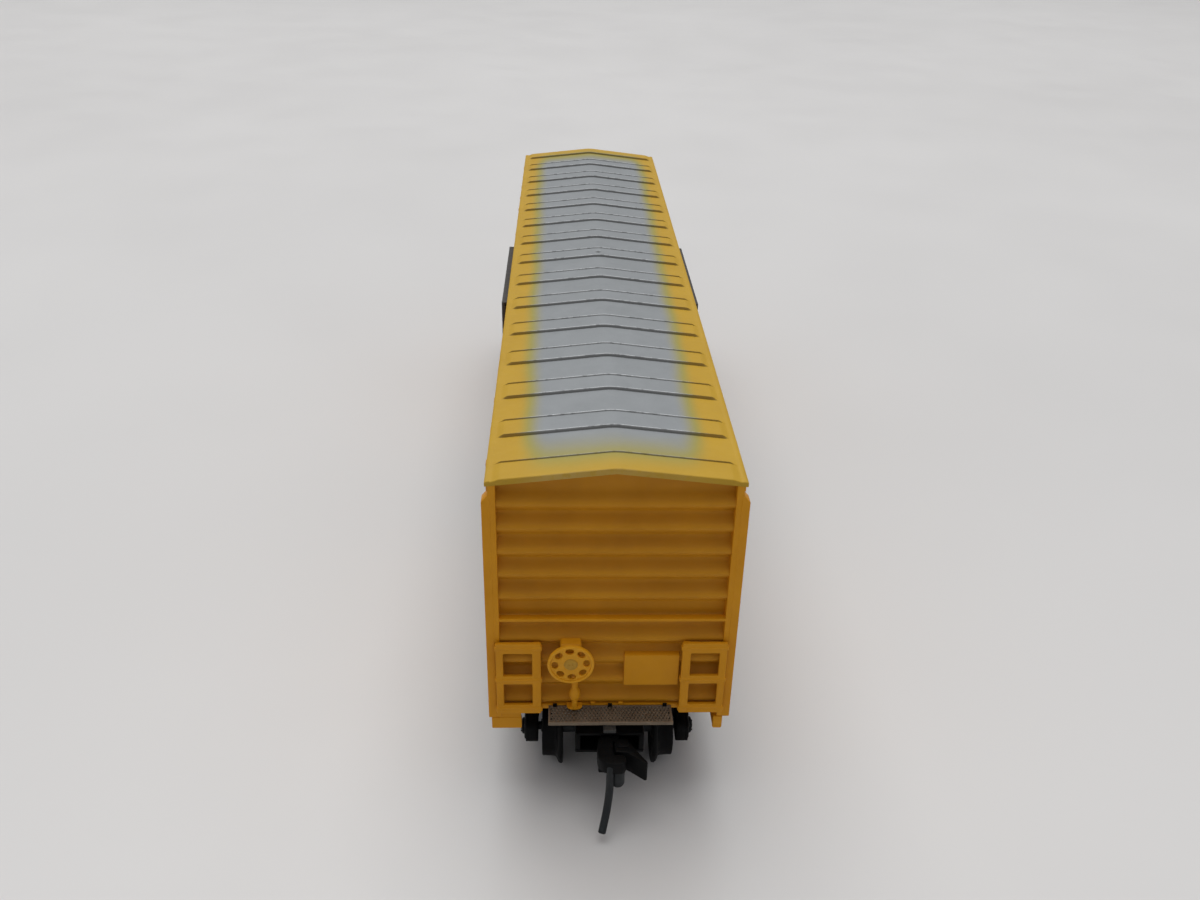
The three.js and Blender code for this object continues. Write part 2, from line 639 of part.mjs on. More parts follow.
// Tread, flange on the inner side, dished web and bore.
function wheel(side) {
  const bore = AXLE_RADIUS + 0.02;
  const profile = [
    [bore, WHEEL_BACK_X + 0.1],
    [bore, WHEEL_FACE_X - 0.05],
    [1.1, WHEEL_FACE_X - 0.05],
    [1.3, WHEEL_FACE_X - 0.35],
    [TREAD_RADIUS - 0.4, WHEEL_FACE_X - 0.35],
    [TREAD_RADIUS - 0.3, WHEEL_FACE_X],
    [TREAD_RADIUS - 0.03, WHEEL_FACE_X],
    [TREAD_RADIUS, WHEEL_BACK_X + 0.75],
    [FLANGE_RADIUS - 0.08, WHEEL_BACK_X + 0.4],
    [FLANGE_RADIUS, WHEEL_BACK_X + 0.2],
    [FLANGE_RADIUS - 0.15, WHEEL_BACK_X],
    [bore, WHEEL_BACK_X + 0.1],
  ];
  const placed = side > 0 ? [...profile].reverse() : profile.map(([r, x]) => [r, -x]);
  return turnAboutX(placed, 28);
}

// ---------------------------------------------------------------- coupler (own frame: y = 0 at the pivot post)
const SPRING_SLOT = [[-0.45, 0.45], [-2.8, -1.25]];
const EYE_RADIUS = 1.05;
const LOWER_SHANK_Z = [5.4, 6.05];
const UPPER_SHANK_Z = [6.15, 6.78];

function shank(zRange, front) {
  const [low, high] = zRange;
  return join([
    rod([0, 0, low], [0, 0, high], EYE_RADIUS, 24),
    box([-0.75, 0.75], [front, 0], zRange),
  ]);
}

function shankCuts(zRange) {
  return [
    rod([0, 0, zRange[0] - 1], [0, 0, zRange[1] + 1], PIVOT_POST_RADIUS + RUNNING_GAP, 24),
    box(...SPRING_SLOT, [zRange[0] - 0.1, zRange[1] + 0.1]),
  ];
}

// Lower half of the split coupler: shank, back of the head and the flared guard arm.
function guardArmHalf() {
  const arm = extrude([
    [0.35, -3.9], [1.0, -3.4], [1.75, -4.1], [2.25, -5.0], [3.0, -6.2], [2.75, -6.3],
    [1.8, -5.5], [1.3, -5.1], [0.35, -5.0],
  ], 5.1, 7.1);
  const neck = box([0.3, 0.95], [-4.3, -3.3], [5.4, 6.08]);
  const solid = shank(LOWER_SHANK_Z, -3.6).add(toSolid(arm)).add(toSolid(neck));
  return cut(solid, [...shankCuts(LOWER_SHANK_Z), box([-1, 0.3], [-6.5, -3.3], [6.08, 7.5])]);
}

// Upper half: shank and the knuckle, which hooks across the front of the head.
function knuckleHalf() {
  const hook = extrude([
    [-0.95, -3.4], [0.2, -3.4], [0.2, -5.15], [0.35, -5.3], [1.0, -5.3], [1.25, -5.6], [1.25, -6.1],
    [1.0, -6.4], [0.2, -6.45], [-0.6, -6.25], [-1.05, -5.7], [-1.15, -4.6],
  ], 5.9, 7.1);
  const jaw = box([-1.0, 0.2], [-5.4, -3.5], [5.1, 6.0]);
  const lobe = rod([0.62, -5.83, 4.25], [0.62, -5.83, 6.2], 0.56, 20);
  const pinBoss = box([-0.3, 0.6], [-6.2, -5.45], [4.3, 6.0]);
  const solid = shank(UPPER_SHANK_Z, -3.6)
    .add(toSolid(hook))
    .add(toSolid(jaw))
    .add(toSolid(lobe))
    .add(toSolid(pinBoss));
  const pinHole = rod([-0.05, -6.15, 3], [-0.05, -6.15, 6.7], 0.32, 16);
  return cut(solid, [...shankCuts(UPPER_SHANK_Z), pinHole, box([-1.3, 0.3], [-4.25, -3], [5, 6.12])]);
}

function tubeAlong(points, radius, steps, sides) {
  const path = new THREE.CatmullRomCurve3(points.map((point) => new THREE.Vector3(...point)));
  const section = new THREE.Shape(circle([0, 0], radius, sides).map(([a, b]) => new THREE.Vector2(a, b)));
  return new THREE.ExtrudeGeometry(section, { steps, extrudePath: path, bevelEnabled: false });
}

function tripPin() {
  return tubeAlong([
    [-0.05, -6.15, 6.6], [-0.05, -6.15, 5.6], [-0.05, -6.17, 4.6], [-0.12, -6.4, 3.5],
    [-0.32, -7.0, 2.3], [-0.55, -7.6, 1.45], [-0.69, -8.0, 1.05],
  ], 0.29, 16, 10);
}

// Lies in the lower shank's slot, clear of the upper half that swings over it.
function centringSpring() {
  const turns = 4;
  const radius = 0.21;
  const z = 5.74;
  const points = [];
  for (let i = 0; i <= turns * 8; i += 1) {
    const angle = (2 * Math.PI * i) / 8;
    const y = -1.45 - (1.15 * i) / (turns * 8);
    points.push([radius * Math.cos(angle), y, z + radius * Math.sin(angle)]);
  }
  return tubeAlong(points, 0.06, turns * 8, 6);
}

// ---------------------------------------------------------------- assembly
const car = new THREE.Group();

addPart(car, 'body_shell', toGeometry(bodyShell()), bodyYellow);
addPart(car, 'underframe', toGeometry(underframe()), blackPlastic);
addPart(car, 'weight_plate', box([-8, 8], [-45, 45], [FLOOR_TOP_Z + 0.03, WEIGHT_TOP_Z]), plainSteel);
addPart(car, 'brake_cylinder', toGeometry(brakeCylinder()), blackPlastic);
addPart(car, 'air_reservoir', toGeometry(tank(BRAKE_GEAR.reservoir)), blackPlastic);
addPart(car, 'control_valve', toGeometry(controlValve()), blackPlastic);
addPart(car, 'brake_stand', toGeometry(brakeStand()), bodyYellow);
addPart(car, 'brake_wheel', toGeometry(brakeWheel()), paintedMetal).position.set(...BRAKE_WHEEL_CENTRE);

for (const [side, turn] of [['right', 0], ['left', Math.PI]]) {
  addPart(car, `${side}_door`, toGeometry(slidingDoor()), doorBlack).rotation.z = turn;
}

for (const [end, turn] of [['b', 0], ['a', Math.PI]]) {
  const group = new THREE.Group();
  group.rotation.z = turn;
  car.add(group);
  addPart(group, `end_platform_${end}`, toGeometry(endPlatform()), etchedMetal);
  addPart(group, `end_ladder_${end}_left`, toGeometry(endLadderWithFeet(-1)), bodyYellow);
  addPart(group, `end_ladder_${end}_right`, toGeometry(endLadderWithFeet(1)), bodyYellow);
  addPart(group, `side_ladder_${end}_left`, toGeometry(sideLadder(-1)), bodyYellow);
  addPart(group, `side_ladder_${end}_right`, toGeometry(sideLadder(1)), bodyYellow);
  addPart(group, `corner_step_${end}_left`, toGeometry(plateStep()), bodyYellow);
  addPart(group, `corner_step_${end}_right`, toGeometry(stirrupStep()), bodyYellow);

  const truck = new THREE.Group();
  truck.position.y = -TRUCK_CENTRE_Y;
  group.add(truck);
  addPart(truck, `kingpin_${end}`, toGeometry(kingpin()), blackPlastic);
  addPart(truck, `truck_frame_${end}`, toGeometry(truckFrame()), blackPlastic);
  addPart(truck, `coupler_box_lid_${end}`, toGeometry(couplerBoxLid()), blackPlastic);

  for (const [row, y] of [['outer', -HALF_WHEELBASE], ['inner', HALF_WHEELBASE]]) {
    const wheelset = new THREE.Group();
    wheelset.position.set(0, y, FLANGE_RADIUS);
    truck.add(wheelset);
    addPart(wheelset, `axle_${end}_${row}`, axle(), blackenedSteel);
    addPart(wheelset, `wheel_${end}_${row}_right`, wheel(1), wheelBlack);
    addPart(wheelset, `wheel_${end}_${row}_left`, wheel(-1), wheelBlack);
  }

  const coupler = new THREE.Group();
  coupler.position.y = COUPLER_PIVOT_Y;
  group.add(coupler);
  addPart(coupler, `coupler_guard_arm_${end}`, toGeometry(guardArmHalf()), blackPlastic);
  addPart(coupler, `coupler_knuckle_${end}`, toGeometry(knuckleHalf()), blackPlastic);
  addPart(coupler, `trip_pin_${end}`, tripPin(), blackenedSteel);
  addPart(coupler, `centring_spring_${end}`, centringSpring(), plainSteel);
}

export default car;
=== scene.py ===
from math import cos, hypot, pi, radians, sin

import bmesh
import bpy
from mathutils import Matrix, Vector


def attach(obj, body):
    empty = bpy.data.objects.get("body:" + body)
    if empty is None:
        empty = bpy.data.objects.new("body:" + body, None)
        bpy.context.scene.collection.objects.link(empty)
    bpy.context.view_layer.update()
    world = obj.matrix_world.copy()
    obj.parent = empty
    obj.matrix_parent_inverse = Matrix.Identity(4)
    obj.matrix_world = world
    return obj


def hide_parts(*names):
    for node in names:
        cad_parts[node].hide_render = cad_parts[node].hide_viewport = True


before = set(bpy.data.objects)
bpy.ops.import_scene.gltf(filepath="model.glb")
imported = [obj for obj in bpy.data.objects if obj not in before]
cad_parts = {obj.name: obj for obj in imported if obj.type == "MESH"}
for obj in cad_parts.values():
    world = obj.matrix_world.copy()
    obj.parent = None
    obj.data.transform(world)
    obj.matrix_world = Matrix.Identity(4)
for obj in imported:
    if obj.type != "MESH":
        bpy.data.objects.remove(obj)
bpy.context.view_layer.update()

# All pieces are modelled in millimetres, in the frame shared with the CAD, and made in metres.
MM = 0.001

# ---- sizes shared with the CAD frame
HALF_LENGTH = 50.0
EAVE_X = 9.85
EAVE_Z = 31.0
RIDGE_Z = 32.1
RIB_HEIGHT = 0.14
ROOF_THICKNESS = 0.5
ROOF_PANELS = 14
ROOF_PITCH = 6.96
ROOF_VALLEY = 4.12
SHEET_X = 9.6
POST_X = 10.15
SILL_Z = 7.9
END_SILL_Z = 8.75
END_SHEET_Y = -49.5
WALL_TOP_Z = EAVE_Z - 0.45
CORRUGATION_TOP_Z = 28.7
CORRUGATION_PITCH = 2.13
LEDGE_Z = CORRUGATION_TOP_Z - 5 * CORRUGATION_PITCH
DOOR_HALF = 9.5
TRUCK_Y = -40.5
HALF_WHEELBASE = 5.5
AXLE_Z = 3.27
PIVOT_Y = -48.2
BRAKE_WHEEL = (-3.32, -51.15, 14.6)
BRAKE_WHEEL_TURN = 0.07
AS_IS = Matrix.Identity(4)
HALF_TURN = Matrix.Rotation(pi, 4, "Z")

# ---- mesh helpers
MERGE_DISTANCE = 2e-4
BEVEL_ANGLE = radians(25)
SMOOTH_ANGLE = radians(38)
# The most of an edge that a bevel or a rounded corner takes up.
EDGE_SHARE = 0.45
# How far one part of a piece is drawn in more than the part before it, and how many steps there are.
HAIR = 0.003
HAIR_STEPS = 11
# How a wire's end is closed: rings of (reach beyond the end, size), in radii.
DOME = ((0.35, 0.6), (0.15, 0.9))


def placed(name, data):
    """A new object in the scene for the given data."""
    made = bpy.data.objects.new(name, data)
    bpy.context.scene.collection.objects.link(made)
    return made


def prepared(mesh_data):
    """Merges doubles and points the normals out."""
    bmesh.ops.remove_doubles(mesh_data, verts=mesh_data.verts, dist=MERGE_DISTANCE)
    bmesh.ops.recalc_face_normals(mesh_data, faces=mesh_data.faces)
    return mesh_data


def moved(mesh_data, matrix):
    bmesh.ops.transform(mesh_data, matrix=matrix, verts=mesh_data.verts)
    return mesh_data


def around(middle, reach):
    return middle - reach, middle + reach


def mirrored(side, a, b):
    """The range from a to b at +X, or its mirror image at -X."""
    return sorted((side * a, side * b))


def rounded_edges(mesh_data, width, segments=2):
    """Bevels every edge that turns by more than the bevel angle."""
    sharp = [e for e in mesh_data.edges if len(e.link_faces) == 2 and e.calc_face_angle(0) > BEVEL_ANGLE]
    bmesh.ops.bevel(
        mesh_data, geom=sharp, offset=width, segments=segments, profile=0.5, affect="EDGES",
        clamp_overlap=True, offset_type="OFFSET",
    )
    return mesh_data


def block(x, y, z, bevel=0.06, segments=2):
    """A box over three ranges, with rounded edges."""
    made = bmesh.new()
    bmesh.ops.create_cube(made, size=1.0)
    size = Vector((x[1] - x[0], y[1] - y[0], z[1] - z[0]))
    centre = Vector((x[0] + x[1], y[0] + y[1], z[0] + z[1])) / 2
    moved(made, Matrix.Translation(centre) @ Matrix.Diagonal((*size, 1)))
    return rounded_edges(made, min(bevel, EDGE_SHARE * min(size)), segments)


# For outlines, z becomes the axis; lathes are turned about it without a care for where they start.
AXIS_TURN = {
    "z": AS_IS,
    "y": Matrix(((1, 0, 0, 0), (0, 0, -1, 0), (0, 1, 0, 0), (0, 0, 0, 1))),
    "x": Matrix(((0, 0, 1, 0), (1, 0, 0, 0), (0, 1, 0, 0), (0, 0, 0, 1))),
}
LATHE_TURN = {
    "z": AS_IS,
    "y": Matrix.Rotation(-pi / 2, 4, "X"),
    "x": Matrix.Rotation(pi / 2, 4, "Y"),
}


def rounded(points, radius):
    """The closed outline with each corner replaced by an arc-like curve of the given reach."""
    made = []
    count, steps = len(points), 3
    for i, point in enumerate(points):
        here = Vector(point)
        before = Vector(points[i - 1]) - here
        after = Vector(points[(i + 1) % count]) - here
        reach = min(radius, before.length * EDGE_SHARE, after.length * EDGE_SHARE)
        start = here + before.normalized() * reach
        end = here + after.normalized() * reach
        for k in range(steps + 1):
            t = k / steps
            made.append(tuple((1 - t) ** 2 * start + 2 * t * (1 - t) * here + t * t * end))
    return made


def rectangle(x0, x1, y0, y1, radius):
    return rounded([(x0, y0), (x1, y0), (x1, y1), (x0, y1)], radius)


def circle(centre, radius, count, stretch=1.0, turn=0.0):
    """A circle, or with a stretch an oval turned by an angle."""
    points = []
    for i in range(count):
        angle = 2 * pi * i / count
        a, b = radius * cos(angle), radius * stretch * sin(angle)
        points.append((
            centre[0] + a * cos(turn) - b * sin(turn),
            centre[1] + a * sin(turn) + b * cos(turn),
        ))
    return points


def plate(outline, low, high, axis="z", holes=(), bevel=0.06, segments=2):
    """A flat plate with holes and rounded rims, its outline given across the axis."""
    curve = bpy.data.curves.new("outline", "CURVE")
    curve.dimensions = "2D"
    curve.fill_mode = "BOTH"
    for loop in (outline, *holes):
        spline = curve.splines.new("POLY")
        spline.points.add(len(loop) - 1)
        for point, (a, b) in zip(spline.points, loop):
            point.co = (a, b, 0, 1)
        spline.use_cyclic_u = True
    curve.extrude = (high - low) / 2 - bevel
    curve.bevel_depth = bevel
    curve.bevel_resolution = segments - 1
    curve.offset = -bevel
    holder = placed("outline", curve)
    evaluated = holder.evaluated_get(bpy.context.evaluated_depsgraph_get())
    made = bmesh.new()
    made.from_mesh(evaluated.to_mesh())
    bpy.data.objects.remove(holder)
    bpy.data.curves.remove(curve)
    shift = -(low + high) / 2 if axis == "y" else (low + high) / 2
    return prepared(moved(made, AXIS_TURN[axis] @ Matrix.Translation((0, 0, shift))))


def prism(outline, low, high, bevel):
    """An outline of (x, z) pushed along y, with every sharp edge rounded."""
    made = bmesh.new()
    loops = [[made.verts.new((a, b, w)) for a, b in outline] for w in (-high, -low)]
    count = len(outline)
    for i in range(count):
        j = (i + 1) % count
        made.faces.new((loops[0][i], loops[0][j], loops[1][j], loops[1][i]))
    made.faces.new(loops[0][::-1])
    made.faces.new(loops[1])
    return rounded_edges(prepared(moved(made, AXIS_TURN["y"])), bevel)


def lathe(profile, centre=(0, 0, 0), axis="x", count=48):
    """A profile of (radius, distance along the axis), turned once round."""
    made = bmesh.new()
    rings = []
    for radius, along in profile:
        if radius < 1e-6:
            rings.append([made.verts.new((0, 0, along))])
            continue
        ring = []
        for i in range(count):
            angle = 2 * pi * i / count
            ring.append(made.verts.new((radius * cos(angle), radius * sin(angle), along)))
        rings.append(ring)
    for a, b in zip(rings, rings[1:]):
        for i in range(count):
            j = (i + 1) % count
            corners = [a[i % len(a)], a[j % len(a)], b[j % len(b)], b[i % len(b)]]
            unique = list(dict.fromkeys(corners))
            if len(unique) > 2:
                made.faces.new(unique)
    return prepared(moved(made, Matrix.Translation(centre) @ LATHE_TURN[axis]))


def rod(start, end, radius, count):
    """A straight round bar with softened ends."""
    start, end = Vector(start), Vector(end)
    length = (end - start).length
    soft = min(0.25 * radius, 0.2 * length)
    profile = [(0, 0), (radius - soft, 0), (radius, soft),
               (radius, length - soft), (radius - soft, length), (0, length)]
    turn = Vector((0, 0, 1)).rotation_difference(end - start).to_matrix().to_4x4()
    return moved(lathe(profile, axis="z", count=count), Matrix.Translation(start) @ turn)


def spline_points(points, per_span):
    """Points along a smooth curve through the given points."""
    knots = [Vector(p) for p in points]
    padded = [2 * knots[0] - knots[1], *knots, 2 * knots[-1] - knots[-2]]
    made = []
    for i in range(1, len(padded) - 2):
        a, b, c, d = padded[i - 1:i + 3]
        for k in range(per_span):
            t = k / per_span
            made.append(0.5 * (2 * b + (c - a) * t + (2 * a - 5 * b + 4 * c - d) * t * t
                               + (3 * b - a - 3 * c + d) * t ** 3))
    return [*made, knots[-1]]


def tube(points, radius, count):
    """A round wire along the points, with domed ends."""
    made = bmesh.new()
    path = [Vector(p) for p in points]
    last = len(path) - 1
    side = None
    rings = []

    def add_ring(centre, size):
        turns = [2 * pi * i / count for i in range(count)]
        rings.append([made.verts.new(centre + size * (cos(t) * side + sin(t) * up)) for t in turns])

    for i, point in enumerate(path):
        along = (path[min(i + 1, last)] - path[max(i - 1, 0)]).normalized()
        if side is None:
            side = Vector((0, 0, 1)) if abs(along.z) < 0.9 else Vector((1, 0, 0))
        side = (side - side.dot(along) * along).normalized()
        up = along.cross(side)
        if i == 0:
            for reach, size in DOME:
                add_ring(point - reach * radius * along, size * radius)
        add_ring(point, radius)
        if i == last:
            for reach, size in reversed(DOME):
                add_ring(point + reach * radius * along, size * radius)
    for a, b in zip(rings, rings[1:]):
        for i in range(count):
            j = (i + 1) % count
            made.faces.new((a[i], a[j], b[j], b[i]))
    made.faces.new(rings[0][::-1])
    made.faces.new(rings[-1])
    return prepared(made)


def height_sheet(us, vs, place, back):
    """A closed slab: place(u, v) gives its face and back(u, v) its rear."""
    made = bmesh.new()
    front = [[made.verts.new(place(u, v)) for v in vs] for u in us]
    rear = [[made.verts.new(back(u, v)) for v in vs] for u in us]
    rows, columns = len(us), len(vs)
    for i in range(rows - 1):
        for j in range(columns - 1):
            made.faces.new((front[i][j], front[i + 1][j], front[i + 1][j + 1], front[i][j + 1]))
            made.faces.new((rear[i][j + 1], rear[i + 1][j + 1], rear[i + 1][j], rear[i][j]))
    for i in range(rows - 1):
        for j in (0, columns - 1):
            made.faces.new((front[i][j], front[i + 1][j], rear[i + 1][j], rear[i][j]))
    for j in range(columns - 1):
        for i in (0, rows - 1):
            made.faces.new((front[i][j], front[i][j + 1], rear[i][j + 1], rear[i][j]))
    return prepared(made)


def paint(mesh_data, index):
    """Gives every face of a part one of the piece's materials."""
    for face in mesh_data.faces:
        face.material_index = index
    return mesh_data


def make_piece(name, nodes, body, slot, parts, turn=AS_IS, others=()):
    """Joins the parts into one object in metres that rides on a body and stands for CAD nodes.

    Its first material is the slot's own, and the others are those that its painted parts use. Each part
    is drawn in by a different hair's breadth, so that no two neighbours in the list share a face plane.
    """
    mesh = bpy.data.meshes.new(name)
    whole = bmesh.new()
    for index, part in enumerate(parts):
        part.normal_update()
        for vertex in part.verts:
            vertex.co -= vertex.normal * HAIR * (index % HAIR_STEPS)
        scrap = bpy.data.meshes.new("part")
        part.to_mesh(scrap)
        whole.from_mesh(scrap)
        bpy.data.meshes.remove(scrap)
        part.free()
    moved(whole, Matrix.Scale(MM, 4) @ turn)
    for face in whole.faces:
        face.smooth = True
    whole.to_mesh(mesh)
    whole.free()
    for key in (slot, *others):
        mesh.materials.append(MAT[key])
    mesh.set_sharp_from_angle(angle=SMOOTH_ANGLE)
    piece = placed(name, mesh)
    weighted = piece.modifiers.new("weighted_normals", "WEIGHTED_NORMAL")
    weighted.keep_sharp = True
    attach(piece, body)
    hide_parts(*nodes)


# ---- materials
# Sockets of the mix node that only their place tells apart.
MIX_A, MIX_B, MIX_RESULT = 6, 7, 2


class Nodes:
    """Short forms for the nodes of a material or world. Places are in metres."""

    def __init__(self, owner, shader="BSDF_PRINCIPLED"):
        owner.use_nodes = True
        self.owner, self.tree = owner, owner.node_tree
        self.shader = next(n for n in self.tree.nodes if n.type == shader)
        self.spot = self.add("TexCoord")

    def feed(self, target, value):
        """Gives a socket a number, a vector, a colour without its alpha, or another node's output."""
        if isinstance(value, (int, float)):
            target.default_value = value
        elif isinstance(value, tuple):
            target.default_value = (*value, 1)[:len(target.default_value)]
        else:
            self.tree.links.new(value, target)

    def add(self, kind, inputs=None, **settings):
        node = self.tree.nodes.new("ShaderNode" + kind)
        for key, value in settings.items():
            setattr(node, key, value)
        for key, value in (inputs or {}).items():
            self.feed(node.inputs[key], value)
        return node.outputs

    def noise(self, scale, detail, rough=0.55, stretch=None):
        place = self.spot["Object"]
        if stretch:
            place = self.add("Mapping", {"Vector": place, "Scale": stretch})["Vector"]
        inputs = {"Vector": place, "Scale": scale, "Detail": detail, "Roughness": rough}
        return self.add("TexNoise", inputs)["Fac"]

    def math(self, operation, a, b=0.0, clamp=False):
        return self.add("Math", {0: a, 1: b}, operation=operation, use_clamp=clamp)[0]

    def times(self, a, b):
        return self.math("MULTIPLY", a, b)

    def size(self, value):
        return self.math("ABSOLUTE", value)

    def centred(self, noise, size):
        """The noise taken about zero and scaled."""
        return self.times(self.math("SUBTRACT", noise, 0.5), size)

    def ramp(self, value, dark, light, top=0.7):
        """Dark up to a value of 0.3 and light from the top on."""
        node = self.tree.nodes.new("ShaderNodeValToRGB")
        for element, position, colour in zip(node.color_ramp.elements, (0.3, top), (dark, light)):
            element.position = position
            element.color = (*colour, 1)
        self.feed(node.inputs["Fac"], value)
        return node.outputs["Color"]

    def blend(self, value, low, high, to_low=0.0, to_high=1.0):
        """A smooth step while the value goes from low to high."""
        inputs = {"Value": value, "From Min": low, "From Max": high, "To Min": to_low, "To Max": to_high}
        return self.add("MapRange", inputs, interpolation_type="SMOOTHSTEP")["Result"]

    def mix(self, factor, a, b):
        return self.add("Mix", {"Factor": factor, MIX_A: a, MIX_B: b}, data_type="RGBA")[MIX_RESULT]

    def bump(self, height, distance, strength):
        return self.add("Bump", {"Height": height, "Distance": distance, "Strength": strength})["Normal"]

    def along(self, coordinates, axis):
        """One axis of a kind of coordinates."""
        return self.add("SeparateXYZ", {0: self.spot[coordinates]})[axis]

    def finish(self, colour, rough, normal=None, metallic=0.0, specular=0.5):
        inputs = {"Base Color": colour, "Roughness": rough}
        inputs |= {"Metallic": metallic, "Specular IOR Level": specular}
        if normal is not None:
            inputs["Normal"] = normal
        for key, value in inputs.items():
            self.feed(self.shader.inputs[key], value)
        return self.owner


PLASTIC_GRAIN = 0.000012
METAL_GRAIN = 0.000008


def plastic(name, dark, light, rough, specular=0.5):
    """Moulded plastic: slow mottling, a fine moulded grain and a slightly uneven sheen."""
    n = Nodes(bpy.data.materials.new(name))
    colour = n.ramp(n.noise(260, 5), dark, light)
    sheen = n.blend(n.noise(900, 3), 0.3, 0.7, *rough)
    grain = n.bump(n.noise(5200, 3, 0.7), PLASTIC_GRAIN, 0.6)
    return n.finish(colour, sheen, grain, specular=specular)


def metal(name, dark, light, rough, metallic, specular=0.5, streak=(1, 1, 1)):
    """Metal with blotches and a fine grain, drawn out into streaks where a streak scale is given."""
    n = Nodes(bpy.data.materials.new(name))
    colour = n.ramp(n.noise(700, 5, 0.6, streak), dark, light, 0.72)
    sheen = n.blend(n.noise(1500, 4), 0.3, 0.7, *rough)
    grain = n.bump(n.noise(6500, 3, 0.7, streak), METAL_GRAIN, 0.7)
    return n.finish(colour, sheen, grain, metallic, specular)


YELLOW = ((0.60, 0.250, 0.005), (0.68, 0.295, 0.007))
ROOF_YELLOW = ((0.45, 0.262, 0.010), (0.49, 0.290, 0.013))
SILVER = ((0.243, 0.255, 0.265), (0.270, 0.282, 0.294))
OVERSPRAY = (0.315, 0.268, 0.058)
# Near-white colour of the painted highlight along the ribs' edges.
RIB_EDGE_HIGHLIGHT = (0.78, 0.80, 0.82)
DIMPLE_DOT = (0.05, 0.05, 0.05)
STEEP_SHADE = (0.045, 0.038, 0.026)

# The silver band, in metres: where it fades across and along the car, how it widens with y, and how far
# its edge wanders.
FADE_ACROSS = (0.0053, 0.0085)
FADE_ALONG = (0.0415, 0.0512)
BAND_TAPER = -0.010
BAND_WANDER = 0.0011
# How far outside a valley's edge, in millimetres, the painted highlight along a rib's edge runs.
RIB_EDGE_HIGHLIGHT_OFFSET = 0.13


def silver_cover(n, x, y):
    """How fully silver covers the yellow: soft and speckled at the band's edges and ends."""
    drift = n.centred(n.noise(95, 3), BAND_WANDER)
    across = n.math("ADD", n.math("ADD", n.size(x), drift), n.times(y, BAND_TAPER))
    along = n.math("ADD", n.size(y), n.times(drift, 2.0))
    cover = n.times(n.blend(across, *FADE_ACROSS, 1.0, 0.0), n.blend(along, *FADE_ALONG, 1.0, 0.0))
    speckle = n.centred(n.noise(7000, 2, 0.8), 0.5)
    edge = n.times(n.times(cover, n.math("SUBTRACT", 1.0, cover)), speckle)
    return n.math("ADD", cover, edge, clamp=True)


def painted_rib_edge_highlights(n, y):
    """A painted highlight along the ribs' upper edges, broken up in places."""
    half_pitch = ROOF_PITCH / 2 * MM
    from_valley = n.math("PINGPONG", n.math("ADD", y, half_pitch), half_pitch)
    off_edge = n.size(n.math("SUBTRACT", from_valley, (ROOF_VALLEY / 2 + RIB_EDGE_HIGHLIGHT_OFFSET) * MM))
    line = n.blend(off_edge, 0.00004, 0.00011, 0.75, 0.0)
    return n.times(line, n.blend(n.noise(1600, 2), 0.35, 0.5, 0.3, 1.0))


def roof_paint():
    """Yellow with a silver band sprayed from above, painted shade on steep faces, a painted highlight along
    the rib edges and a dark dot at the dimple.
    """
    n = Nodes(bpy.data.materials.new("roof_paint"))
    x, y = n.along("Object", "X"), n.along("Object", "Y")
    cover = silver_cover(n, x, y)
    colour = n.mix(n.blend(cover, 0.0, 0.45), n.ramp(n.noise(260, 5), *ROOF_YELLOW), OVERSPRAY)
    colour = n.mix(n.blend(cover, 0.3, 0.95), colour, n.ramp(n.noise(330, 6, 0.6), *SILVER, 0.72))
    # Painted highlight: a near-white line along the rib edges, only where the silver lies.
    colour = n.mix(n.times(painted_rib_edge_highlights(n, y), cover), colour, RIB_EDGE_HIGHLIGHT)
    # A dark dot painted at the dimple in the roof's middle.
    from_dimple = n.math("ADD", n.size(x), n.size(y))
    colour = n.mix(n.blend(from_dimple, 0.0002, 0.0005, 0.8, 0.0), colour, DIMPLE_DOT)
    # Painted shade: faces that turn along the car, such as the ribs' steps and beads, are darkened, but not
    # the roof's end faces.
    tilt = n.blend(n.size(n.along("Normal", "Y")), 0.4, 0.75, 0.0, 0.5)
    inland = n.blend(n.size(y), 0.0496, 0.0499, 1.0, 0.0)
    colour = n.mix(n.times(tilt, inland), colour, STEEP_SHADE)
    rough = n.math("SUBTRACT", n.blend(n.noise(1100, 3), 0.3, 0.7, 0.46, 0.58), n.times(cover, 0.06))
    return n.finish(colour, rough, metallic=n.times(cover, 0.12), specular=0.35)


